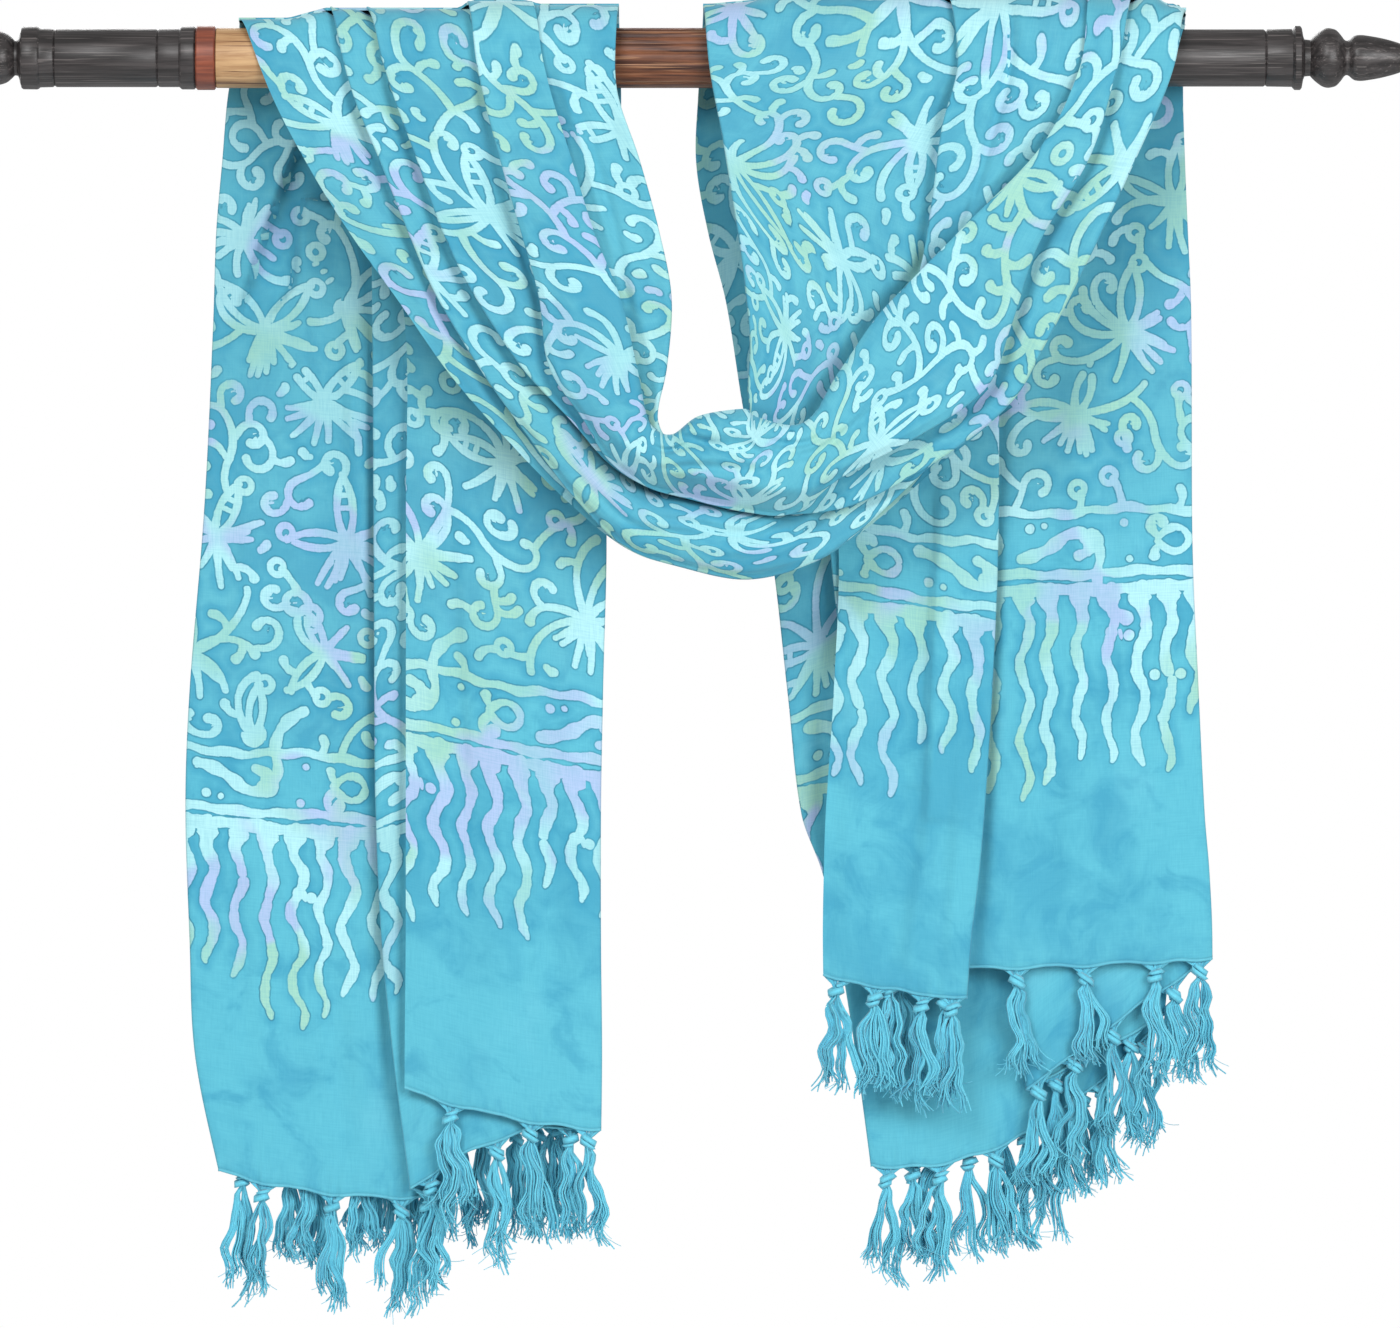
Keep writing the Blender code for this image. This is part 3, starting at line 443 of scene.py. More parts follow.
def crest_rows(profile):
    """Rows of the cloth that goes over the crest, from the swag's front layers to the fall's back ones."""
    rows = []
    for j in range(CREST_STEPS + 1):
        angle = blend(CREST_FRONT, CREST_REAR, j / CREST_STEPS)
        settle = smooth((angle - SETTLE_START) / SETTLE_TURN)
        lift = CREST_LIFT - CREST_TUCK * (1.0 - smooth((angle - CREST_FRONT) / CREST_TUCK_TURN))
        row = []
        for i, (x, front, rear) in enumerate(profile):
            radius = LAY_RADIUS + lift + blend(max(front, rear), rear, settle)
            at = Vector((x, radius * math.sin(angle), radius * math.cos(angle)))
            row.append((at, 0, x, -angle * LAY_RADIUS, i / (len(profile) - 1)))
        rows.append(row)
    return rows


# ---- swag ----


def swag_table():
    """Section rows keyed by their number, with the crests' rows at both ends."""
    rows = [SWAG_CRESTS[0], *SWAG_SECTIONS, SWAG_CRESTS[1]]
    table = []
    for number, row in enumerate(rows):
        at_crest = number in (0, len(rows) - 1)
        outer_drop = 0.0 if at_crest else drop_at(row[2])
        inner_drop = 0.0 if at_crest else drop_at(row[4])
        table.append((float(number), row[1], outer_drop, row[3], inner_drop, 0.0, *row[5:]))
    return table


def swag_relief(number, k, u):
    height = 0.0
    for on_pass, along, half_length, across_start, across_end, half_width, rise in SWAG_RELIEF:
        if on_pass != k:
            continue
        t = (number - along) / half_length
        if abs(t) < 1.0:
            middle = blend(across_start, across_end, (t + 1) / 2)
            height += rise * bump(t) * bump((u - middle) / half_width)
    return height


def swag_lengths(table):
    """Length of cloth from the left crest to each section, along the middle of the swag."""
    lengths = [0.0]
    for before, after in zip(table, table[1:]):
        step = [(after[c] + after[c + 2] - before[c] - before[c + 2]) / 2 for c in (1, 2)]
        lengths.append(lengths[-1] + math.hypot(*step))
    return list(zip((row[0] for row in table), lengths))


def crest_rises():
    """How far the falls' layers lift the swag along each crest: (x, height), left crest first."""
    profiles = (crest_profile(SWAG_CRESTS[0], LEFT_FALL), crest_profile(SWAG_CRESTS[1], RIGHT_FALL))
    return [[(x, max(0.0, rear - front)) for x, front, rear in profile] for profile in profiles]


def swag_row(table, lengths, rises, number):
    values = [0.0] + [spline(table, number, c) for c in range(1, len(table[0]))]
    outer = Vector((values[1], values[2]))
    inner = Vector((values[3], values[4]))
    across = values[5:13]
    back, step, puff = values[13:16]
    folds = [tuple(outer.lerp(inner, a)) for a in across]
    levels = [step * k for k in range(len(folds) - 1)]
    crease = (across[UPPER_ROLL_FOLD] - across[2]) / (across[3] - across[2])
    lower_roll = LOWER_ROLL_SWELL * smooth((crease - LEAST_CREASE) / LOWER_ROLL_FADE)
    crease = max(CREASE_FLOOR, crease)
    turn_radii = [0.0] + [step / 2] * (len(folds) - 2) + [0.0]

    breadth = (inner - outer).length
    axis = (inner - outer).normalized()

    def edge_shift(share, k, drop):
        shift = 0.0
        free = FRONT_OF_ROD * smooth(drop / EDGE_FADE_ON_ROD)
        free += (1.0 - FRONT_OF_ROD) * smooth((drop - QUARTER_WRAP) / EDGE_FADE_BELOW)
        free *= 1.0 - CALM_IN_BELLY * bump((number - BELLY_SECTION) / CALM_REACH)
        for fold, last_under in VISIBLE_FOLDS:
            near = bump((share - across[fold]) * breadth / EDGE_REACH)
            shift += near * free * (EDGE_LIFT if k > last_under else -EDGE_DIP)
        return shift

    def place(x, drop, height, k, u):
        swell = swag_relief(number, k, u) * smooth(drop / SWAG_RELIEF_FADE)
        share = (Vector((x, drop)) - outer).dot(axis) / breadth
        swell += edge_shift(share, k, drop)
        lower_level = LOWER_ROLL_PASS * step
        if height > lower_level:
            near = bump((share - across[UPPER_ROLL_FOLD]) * breadth / SQUEEZE_REACH)
            near *= bump((number - BELLY_SECTION) / BELLY_REACH)
            height = lower_level + (height - lower_level) * (1.0 - SQUEEZE * near)
        if drop < CREST_SLOPE:
            rise = line_between(rises[0 if number < BELLY_SECTION else 1], x)
            swell += rise * (1.0 - smooth(drop / CREST_SLOPE))
        if k == LOWER_ROLL_PASS and u < crease:
            swell += puff * lower_roll * math.sin(math.pi * u / crease) ** ROLL_FULLNESS
        if k == UPPER_ROLL_PASS:
            swell += puff * UPPER_ROLL_SWELL * max(0.0, math.sin(math.pi * u)) ** ROLL_FULLNESS
        off_rod = smooth((drop - QUARTER_WRAP) / SWAG_RIPPLE_FADE)
        swell += ripple(x, drop, SWAG_RIPPLE_SIZE, SWAG_RIPPLE_DEPTH) * off_rod
        return hang(x, drop, height + swell, back, -1)

    down = line_between(lengths, number)
    fullness = 1.0 + BELLY_FULLNESS * bump((number - BELLY_SECTION) / BELLY_REACH)
    row = []
    for at, k, x, drop, u in folded_row(folds, levels, turn_radii, SWAG_COUNTS, place):
        across_cloth = (Vector((x, drop)) - outer).dot(axis) * fullness
        row.append((at, k, across_cloth, down, u))
    return row


# ---- falls ----


def fall_relief(fall, x, z, level):
    height = 0.0
    for first_level, x_top, z_top, x_bottom, z_bottom, left_width, right_width, rise in fall["relief"]:
        t = (z - z_top) / (z_bottom - z_top)
        if 0.0 < t < 1.0 and level > first_level - 1.0:
            away = x - blend(x_top, x_bottom, t)
            across = bump(away / (right_width if away > 0.0 else left_width))
            if across > 0.0:
                along = math.sin(math.pi * t) ** RELIEF_FULLNESS
                height += rise * smooth(level - first_level + 1.0) * along * across
    if fall["name"] == "left_fall" and z < 0.0:
        height -= flap_hollow(x, z)
    return height


def flap_hollow(x, z):
    """Depth of the shaded hollow between the turned-back corner and the layer under it."""
    rows = [(-row[0], row[1]) for row in LEFT_FLAP]
    edges = [(-row[0], row[2]) for row in LEFT_FLAP]
    flap_edge = line_between(rows, -z)
    layer_edge = line_between(edges, -z)
    fade = smooth((z - FLAP_BOTTOM) / FLAP_FADE)
    right_of_flap = smooth((x - flap_edge - FLAP_EDGE_START) / FLAP_EDGE_WIDTH)
    in_hollow = 1.0 - smooth((x - layer_edge) / LAYER_EDGE_WIDTH)
    below_line = smooth((HOLLOW_Z - HOLLOW_SLANT * (x - HOLLOW_X) - z) / HOLLOW_EDGE)
    above = 1.0 - smooth((x - HOLLOW_END) / HOLLOW_END_FADE)
    depth = right_of_flap * max(in_hollow, (1.0 - below_line) * above)
    curled = FLAP_CURL * bump((x - flap_edge) / FLAP_CURL_REACH) * (1.0 - right_of_flap)
    return (FLAP_DEPTH * depth - curled) * fade * smooth(-z / FLAP_TOP_FADE)


def fall_point(fall, x, drop, level):
    """level is the number of the layer, front layer 0, which may lie between two layers."""
    near_rod = 1.0 - smooth((drop - QUARTER_WRAP) / FALL_SLACK_FADE)
    down = smooth((drop - QUARTER_WRAP) / FALL_LENGTH)
    step = blend(LAYER_STEP_ON_ROD, FALL_STEP_AT_HEM, min(1.0, down / FALL_STEP_LENGTH))
    slack = line_between(fall["slack_on_rod"], x) * near_rod
    height = step * level - LAYER_STEP_ON_ROD * slack
    off_rod = smooth((drop - QUARTER_WRAP) / FALL_RIPPLE_FADE)
    wave = WAVE_DEPTH * math.sin(2 * math.pi * x / WAVE_WIDTH + WAVE_PHASE)
    back = wave * smooth((drop - QUARTER_WRAP) / WAVE_FADE) - FALL_LEAN * down
    back -= fall_relief(fall, x, QUARTER_WRAP - drop, level)
    back += sum(ripple(x, drop * share, size, depth) for share, size, depth in FALL_RIPPLES) * off_rod
    return hang(x, drop, height, back, 1)


def fall_folds(fall, share):
    """(x, drop) of each fold at a share of the way from below the rod to the hem."""
    folds = []
    for k, hem_z in enumerate(fall["hem_z"]):
        hem_drop = QUARTER_WRAP - hem_z
        drop = FIRST_HANGING_DROP + (hem_drop - FIRST_HANGING_DROP) * share
        folds.append((spline(fall["fold_x"], QUARTER_WRAP - drop, k + 1), drop))
    return folds


def folds_at(fall, z, drop):
    """(x, drop) of each fold where it passes height z, all on one row."""
    return [(spline(fall["fold_x"], z, k + 1), drop) for k in range(len(fall["hem_z"]))]


def hem_gather(fall, k, x, above):
    """How far the hem hangs down and puckers forward near its knots: (down, forward)."""
    down = 0.0
    forward = 0.0
    if above < GATHER_HEIGHT:
        for knot in fall["tassels"][k]:
            near = bump((x - knot) / GATHER_REACH)
            down += GATHER_DOWN * near * math.exp(-above / GATHER_DOWN_FADE)
            pucker = math.cos((x - knot) * PUCKER_TURN) * near
            forward += PUCKER * pucker * math.exp(-above / PUCKER_FADE)
        forward += HEM_WAVE * math.sin(x * HEM_WAVE_TURN + k) * math.exp(-above / HEM_WAVE_FADE)
    return down, forward


def fall_row(fall, folds, share, above_hem):
    passes = len(folds) - 1
    levels = [float(k) for k in range(passes)]

    def place(x, drop, level, k, u):
        sag = fall["hem_sag"][k] * 4 * u * (1 - u) * share**3
        down, forward = hem_gather(fall, k, x, above_hem)
        at = fall_point(fall, x, drop + sag + down, level)
        at.y -= forward
        return at

    turn_radii = [0.0] + [1.0] * (passes - 1) + [0.0]
    return folded_row(folds, levels, turn_radii, fall["counts"], place)


def fall_rows(fall):
    """Rows of the fall from the crest to the hem, with each row's height above the hem."""
    rows = []
    length = QUARTER_WRAP - sum(fall["hem_z"]) / len(fall["hem_z"])
    for i in range(CREST_ROWS):
        drop = (FIRST_HANGING_DROP - CREST_ROWS_STOP) * i / (CREST_ROWS - 1)
        if drop > QUARTER_WRAP:
            folds = folds_at(fall, QUARTER_WRAP - drop, drop)
        else:
            folds = folds_at(fall, LAY_RADIUS * math.cos(drop / LAY_RADIUS), drop)
        rows.append(fall_row(fall, folds, 0.0, length))
    for i in range(fall["rows"] + 1):
        share = i / fall["rows"]
        above = (1.0 - share) * (length - FIRST_HANGING_DROP)
        rows.append(fall_row(fall, fall_folds(fall, share), share, above))
    return rows


# ---- wax print ----

# Lines of the print, mm
LINE_STEP = 1.2
LINE_HALF_WIDTH = 2.05
BULB = 1.32
LINE_CLEARANCE = 7.0
ROOT_LENGTH = 8.0
FAR_AWAY = 900.0
CANVAS_MARGIN, CLOTH_REACH = 16.0, 12  # lines may run a little over the edge of the cloth
SAMPLES_SEARCHED, SAMPLES_ALONG = 12, 7
SMALL_CURL_RADIUS = 6.8
BUD_SPACING = 5

# How many shapes of each kind there are to choose from, and mm2 of open ground for each try
SWEEPS, GROWTHS, SCROLLS = 40, 60, 50
AREA_PER_SWEEP, AREA_PER_GROWTH, AREA_PER_SCROLL = 14.0, 6.0, 10.0
AREA_PER_SMALL, AREA_PER_RING = 8.0, 30.0

# The border, by height above the hem: bars, a vine between two of them, and drips under the lowest
BORDER_TOP = 240.0
BARS = (
    # height, half_width, wobble
    (193.0, 3.4, 0.5),
    (201.2, 2.7, 0.8),
    (233.5, 2.5, 1.3),
)
VINE_HEIGHT, VINE_LENGTH = 217.5, 104.0
DRIP_SPACING, DRIP_SWING, DRIP_WAVE = 15.2, 3.7, 37.0
DRIP_LENGTHS = (78.0, 96.0, 88.0, 104.0, 70.0, 92.0, 100.0, 84.0, 66.0, 90.0, 108.0)

# Flowers that show: pass, x, z, size and turn. Further ones are set out on a lattice.
SWAG_FLOWERS = (
    (0, -197.0, -36.0, 34.0, 0.2),
    (4, -116.0, -88.0, 38.0, 0.9),
    (5, -77.0, -80.0, 36.0, 0.1),
    (2, -150.0, -120.0, 30.0, 0.4),
    (5, -66.0, -186.0, 30.0, 0.7),
    (3, 19.0, -60.0, 38.0, 1.0),
    (3, 120.0, -48.0, 34.0, 0.3),
    (3, 76.0, -112.0, 34.0, 0.8),
    (5, 166.0, -96.0, 35.0, 0.2),
    (5, 112.0, -176.0, 32.0, 0.6),
    (6, 30.0, -210.0, 28.0, 0.5),
    (2, 20.0, -262.0, 26.0, 0.1),
    (2, -60.0, -232.0, 28.0, 0.9),
    (4, 232.0, -60.0, 30.0, 0.4),
)
LEFT_FLOWERS = (
    (3, -195.0, -268.0, 40.0, 0.15),
    (3, -267.0, -262.0, 36.0, 0.6),
    (3, -247.0, -372.0, 36.0, 0.9),
    (3, -240.0, -150.0, 36.0, 0.3),
    (3, -196.0, -140.0, 34.0, 0.8),
    (0, -155.0, -272.0, 38.0, 0.5),
    (0, -62.0, -310.0, 36.0, 0.0),
    (0, -108.0, -222.0, 34.0, 0.7),
)
RIGHT_FLOWERS = (
    (2, 262.0, -78.0, 38.0, 0.4),
    (2, 236.0, -150.0, 36.0, 0.9),
    (2, 208.0, -196.0, 34.0, 0.1),
    (0, 96.0, -208.0, 32.0, 0.4),
    (5, 40.0, -190.0, 34.0, 0.5),
    (5, 66.0, -330.0, 34.0, 0.2),
    (5, 20.0, -110.0, 32.0, 0.2),
)
FLOWER_SPACING = 84.0
FLOWER_ROOM = (-11.0, 0.0, 11.0)
FAN_SPREAD = 2.5
FLOWER_MIDDLE = 11.0  # lines of a flower may meet within this of its middle


def new_canvas(places, seed):
    """An empty stretch of cloth round the given (x, y) places, in mm."""
    low = places.min(axis=0) - CANVAS_MARGIN
    size = (places.max(axis=0) + CANVAS_MARGIN - low).astype(int) + 2
    cloth = np.zeros((size[1], size[0]), dtype=bool)
    cells = (places - low).astype(int)
    cloth[cells[:, 1], cells[:, 0]] = True
    for axis in (0, 1):
        rolled = [np.roll(cloth, shift, axis) for shift in range(-CLOTH_REACH, CLOTH_REACH + 1)]
        cloth = np.any(rolled, axis=0)
    taken = ~cloth
    reach = int(LINE_CLEARANCE)
    disc = [(i, j) for i in range(-reach, reach + 1) for j in range(-reach, reach + 1)]
    disc = [c for c in disc if math.hypot(*c) <= LINE_CLEARANCE]
    return {
        "low": low,
        "taken": taken,
        "disc": np.array(disc),
        "lines": [],
        "widths": [],
        "buds": [],
        "random": np.random.default_rng(seed),
    }


def cells_of(canvas, places):
    cells = (places - canvas["low"]).astype(int)
    height, width = canvas["taken"].shape
    cells[:, 0] = np.clip(cells[:, 0], 0, width - 1)
    cells[:, 1] = np.clip(cells[:, 1], 0, height - 1)
    return cells


def is_free(canvas, places):
    cells = cells_of(canvas, places)
    return not canvas["taken"][cells[:, 1], cells[:, 0]].any()


def draw(canvas, places, widths, with_buds=True):
    """Lays a wax line along the places and keeps later lines clear of it."""
    canvas["lines"].append(places)
    canvas["widths"].append(widths)
    round_line = (places[::2, None, :] + canvas["disc"][None, :, :]).reshape(-1, 2)
    cells = cells_of(canvas, round_line)
    canvas["taken"][cells[:, 1], cells[:, 0]] = True
    if with_buds:
        for i in range(BUD_SPACING, len(places) - 3, BUD_SPACING):
            along = places[i + 1] - places[i]
            canvas["buds"].append((places[i][0], places[i][1], math.atan2(along[1], along[0])))


def stroke(x, y, heading, bends, start_width=1.0, bulb=1.0, width=LINE_HALF_WIDTH):
    """One brushed line: (places, half widths). bends are (length, turn, turn tightens by) in order."""
    headings = []
    for length, turn, tighten in bends:
        count = max(2, int(length / LINE_STEP))
        share = (np.arange(count) + 0.5) / count
        rates = 1.0 + (tighten - 1.0) * share
        headings.append(heading + np.cumsum(rates / rates.sum()) * turn)
        heading = headings[-1][-1]
    headings = np.concatenate(headings)
    steps = np.stack([np.cos(headings), np.sin(headings)], axis=1) * LINE_STEP
    places = np.array([x, y]) + np.cumsum(steps, axis=0)
    along = np.linspace(0.0, 1.0, len(places))
    widths = width * (start_width + (1.0 - start_width) * np.minimum(1.0, along * 2.2))
    widths *= 1.0 + 0.1 * np.sin(along * 9.0 + heading)
    to_end = np.arange(len(places))[::-1] * LINE_STEP
    widths *= 1.0 + (bulb - 1.0) * np.exp(-((to_end / 3.4) ** 2))
    return places, widths


def at_share(line, share):
    """Place and heading at a share of the way along a stroke."""
    places = line[0]
    i = min(len(places) - 2, max(0, int(share * (len(places) - 1))))
    along = places[i + 1] - places[i]
    return places[i][0], places[i][1], math.atan2(along[1], along[0])


def either_hand(random):
    return 1 if random.random() < 0.5 else -1


def curl(x, y, heading, hand, stem, radius, random):
    """A stem that leans one way and then curls up the other way to a bulb."""
    turns = random.uniform(0.56, 0.82) * 2 * math.pi
    bends = [(stem, -hand * stem / 42.0, 1.0), (radius * 0.84 * turns, hand * turns, 1.9)]
    return stroke(x, y, heading, bends, 1.0, BULB)


def eyelet(x, y, heading, hand, radius=3.9):
    """A small ring that starts and ends at (x, y)."""
    return stroke(x, y, heading, [(2 * math.pi * radius, hand * 2 * math.pi, 1.0)], 0.84, 1.0, 1.9)


def growth(random):
    """A sprig that starts at the origin and grows along x: a list of strokes."""
    kind = random.random()
    hand = either_hand(random)
    if kind < 0.42:
        return [curl(0.0, 0.0, 0.0, hand, random.uniform(3.0, 20.0), random.uniform(7.0, 10.0), random)]
    if kind < 0.50:
        main = stroke(0.0, 0.0, 0.0, [(random.uniform(8.0, 22.0), hand * random.uniform(0.2, 0.9), 1.0)])
        x, y, heading = at_share(main, 1.0)
        return [main, eyelet(x, y, heading - hand * 1.4, hand)]
    if kind < 0.72:
        main = curl(0.0, 0.0, 0.0, hand, random.uniform(14.0, 30.0), random.uniform(7.5, 10.5), random)
        x, y, heading = at_share(main, random.uniform(0.25, 0.4))
        stem, radius = random.uniform(4.0, 9.0), random.uniform(6.0, 8.0)
        return [main, curl(x, y, heading - hand * 0.8, -hand, stem, radius, random)]
    if kind < 0.86:
        main = curl(0.0, 0.0, 0.0, hand, random.uniform(20.0, 34.0), random.uniform(8.0, 11.0), random)
        x, y, heading = at_share(main, random.uniform(0.3, 0.45))
        return [main, eyelet(x, y, heading + hand * 0.4, hand)]
    bends = [(18.0, hand * 0.8, 1.0), (22.0, -hand * 1.5, 1.0), (20.0, hand * 2.6, 1.6)]
    main = stroke(0.0, 0.0, 0.0, bends, 1.0, BULB)
    x, y, heading = at_share(main, 0.42)
    return [main, curl(x, y, heading + hand * 0.9, hand, 4.0, 7.0, random)]


def sweep(random):
    """A long arm that starts at the origin along x, with a curl at its end and a sprig on its way."""
    hand = either_hand(random)
    bends = [
        (random.uniform(20.0, 36.0), hand * random.uniform(0.6, 1.1), 1.0),
        (random.uniform(16.0, 30.0), -hand * random.uniform(0.6, 1.2), 1.0),
        (26.0, -hand * random.uniform(3.0, 4.2), 2.4),
    ]
    main = stroke(0.0, 0.0, 0.0, bends, 1.1, BULB)
    x, y, heading = at_share(main, random.uniform(0.3, 0.5))
    return [main, curl(x, y, heading + hand * 0.8, hand, random.uniform(4.0, 10.0), 7.5, random)]


def scroll(random):
    """A detached scroll with both ends curled, or a hook."""
    hand = either_hand(random)
    kind = random.random()
    if kind < 0.3:
        middle = random.uniform(8.0, 18.0)
        bends = [(16.0, hand * 3.6, 0.5), (middle, 0.0, 1.0), (16.0, -hand * 3.6, 2.0)]
    elif kind < 0.65:
        reach = random.uniform(8.0, 16.0)
        bends = [(12.0, hand * 2.8, 0.5), (reach, hand * 0.8, 1.0), (16.0, hand * 3.4, 2.2)]
    else:
        bends = [(random.uniform(6.0, 18.0), -hand * 0.5, 1.0), (17.0, hand * 3.9, 2.2)]
    main = stroke(0.0, 0.0, 0.0, bends, 1.25, BULB)
    if kind > 0.5 and len(main[0]) > 14:
        x, y, heading = at_share(main, 0.35)
        return [main, eyelet(x, y, heading - hand * 0.9, -hand, 3.6)]
    return [main]


def turned(strokes, x, y, heading):
    cos, sin = math.cos(heading), math.sin(heading)
    turn = np.array([[cos, sin], [-sin, cos]])
    return [(places @ turn + (x, y), widths) for places, widths in strokes]


def grow(canvas, sprigs, tries):
    """Sprigs that leave the lines already drawn, wherever there is room."""
    random = canvas["random"]
    root = int(ROOT_LENGTH / LINE_STEP)
    for _ in range(tries):
        x, y, heading = canvas["buds"][random.integers(len(canvas["buds"]))]
        side = random.uniform(0.7, 1.45) * either_hand(random)
        sprig = turned(sprigs[random.integers(len(sprigs))], x, y, heading + side)
        if is_free(canvas, np.concatenate([sprig[0][0][root:], *(line[0] for line in sprig[1:])])):
            for line in sprig:
                draw(canvas, *line)


def scatter(canvas, motifs, tries):
    """Motifs that stand alone, wherever there is room."""
    random = canvas["random"]
    height, width = canvas["taken"].shape
    for _ in range(tries):
        x, y = canvas["low"] + random.uniform((0.0, 0.0), (width, height))
        motif = turned(motifs[random.integers(len(motifs))], x, y, random.uniform(0.0, 6.28))
        if is_free(canvas, np.concatenate([line[0] for line in motif])):
            for line in motif:
                draw(canvas, *line)


def add_flower(canvas, x, y, size, turn):
    """Lines that spread from a middle: a fan of short fingers to one side of the heading turn, and to
    the other side pairs that close into petals and single arms with curled ends."""
    random = canvas["random"]
    lines = []
    heading = turn - FAN_SPREAD
    while heading < turn - 0.2:
        bend = random.uniform(-0.5, 0.5)
        lines.append(stroke(x, y, heading, [(size * random.uniform(0.48, 0.82), bend, 1.0)], 1.45, 0.75))
        heading += random.uniform(0.24, 0.34)
    heading = turn
    while heading < turn + 2 * math.pi - FAN_SPREAD - 0.4:
        length = size * random.uniform(0.85, 1.15)
        hand = either_hand(random)
        if random.random() < 0.42 and heading < turn + 2 * math.pi - FAN_SPREAD - 1.3:
            gap = random.uniform(0.95, 1.25)
            pair = [
                stroke(x, y, heading, [(length, gap, 1.0)], 1.12),
                stroke(x, y, heading + gap, [(length, -gap, 1.0)], 1.12),
            ]
            lines += pair
            tip = at_share(pair[1], 1.0)
            if random.random() < 0.5:
                lines.append(eyelet(tip[0], tip[1], tip[2] + 1.2, -1))
            else:
                lines.append(curl(*tip, hand, 2.0, 7.4, random))
            if random.random() < 0.4:
                for share in (0.5, 0.7, 0.88):
                    near, far = at_share(pair[0], share), at_share(pair[1], share)
                    reach = math.hypot(far[0] - near[0], far[1] - near[1])
                    across = math.atan2(far[1] - near[1], far[0] - near[0])
                    rung = [(max(reach, 3.0), 0.0, 1.0)]
                    lines.append(stroke(near[0], near[1], across, rung, 1.0, 1.0, 1.5))
            heading += gap + random.uniform(0.35, 0.5)
            continue
        bends = [
            (length * 0.6, hand * random.uniform(0.1, 0.9), 1.0),
            (length * random.uniform(0.4, 0.9), hand * random.uniform(0.5, 1.3), 1.5),
        ]
        if random.random() < 0.6:
            bends.append((18.0, hand * 3.6, 2.0))
        lines.append(stroke(x, y, heading, bends, 1.12, BULB))
        heading += random.uniform(0.42, 0.6)
    drawn = []
    for places, widths in lines:
        first = int(FLOWER_MIDDLE / LINE_STEP) if math.hypot(*(places[0] - (x, y))) < 3.0 else 0
        outside = places[first:]
        while len(outside) > 3 and not is_free(canvas, outside):
            outside = outside[:-3]
            places = places[:-3]
        if len(outside) > 5 or (first == 0 and len(outside) > 1):
            drawn.append((places, widths[: len(places)]))
    for line in drawn:
        draw(canvas, *line)
    draw(canvas, np.array([[x, y], [x + 1.5, y + 1.0]]), np.array([6.6, 6.0]), with_buds=False)


def add_border(canvas, scale):
    """Bars, a vine with dots between two of them, and wavy drips along the hem."""
    random = canvas["random"]
    x_low = canvas["low"][0]
    x_high = x_low + canvas["taken"].shape[1]
    xs = np.arange(x_low, x_high, LINE_STEP)
    for height, half_width, wobble in BARS:
        waver = np.sin(xs * 0.083 + height) + 0.6 * np.sin(xs * 0.29 + 2 * height)
        ys = height * scale + wobble * waver
        widths = half_width * (1.0 + 0.16 * np.sin(xs * 0.19 + height) + 0.08 * np.sin(xs * 0.61))
        draw(canvas, np.stack([xs, ys], axis=1), widths, with_buds=height > VINE_HEIGHT)
    start = x_low - random.uniform(0.0, VINE_LENGTH)
    for n, x in enumerate(np.arange(start, x_high, VINE_LENGTH)):
        add_vine(canvas, x, VINE_HEIGHT * scale, -1 if n % 2 else 1)
    add_drips(canvas, np.arange(x_low, x_high, DRIP_SPACING * scale), BARS[0][0] * scale, scale)


def add_vine(canvas, x, y, up):
    """One length of the vine: a rising arm that arches over a curl, a pointed eye and dots."""
    random = canvas["random"]
    arm = [(28.0, 0.62, 1.0), (20.0, -1.5, 1.2), (16.0, -1.1, 1.0), (24.0, 1.1, 1.0), (12.0, 0.3, 1.0)]
    arm = [(length * random.uniform(0.94, 1.06), turn, tighten) for length, turn, tighten in arm]
    lines = [stroke(0.0, -8.5, 0.1, arm, 1.15, 1.1, 2.9)]
    lines.append(stroke(32.0, -7.5, 0.2, [(12.0, 0.5, 1.0), (15.0, 3.7, 2.0)], 1.3, BULB, 2.5))
    lines.append(stroke(38.0, -6.5, 1.9, [(8.0, -0.9, 1.0)], 1.2, 1.2, 2.3))
    eye_x = 76.0
    for side in (-1, 1):
        bends = [(10.0, -side * 0.45, 1.0), (14.0, -side * 1.75, 1.0)]
        lines.append(stroke(eye_x, 0.0, side * 0.95, bends, 1.1, 1.0, 2.0))
    lines.append(stroke(eye_x + 1.0, 2.0, 2.6, [(7.0, -0.5, 1.0), (14.0, -3.5, 2.2)], 1.1, BULB, 2.2))
    lines.append(stroke(eye_x + 1.0, -3.0, -2.4, [(7.0, 0.7, 1.0)], 1.0, 1.3, 2.0))
    dots = ((58.0, 10.0, 2.3), (61.0, -10.0, 1.9), (6.0, 8.0, 2.6), (14.0, 9.4, 1.7))
    for places, widths in lines:
        widths = widths * (1.0 + 0.18 * np.sin(np.arange(len(places)) * 0.5 + random.uniform(0.0, 6.0)))
        draw(canvas, places * (1.0, up) + (x, y), widths, with_buds=False)
    for across, above, size in dots:
        draw(canvas, np.array([[x + across, y + up * above]]), np.array([size]), with_buds=False)


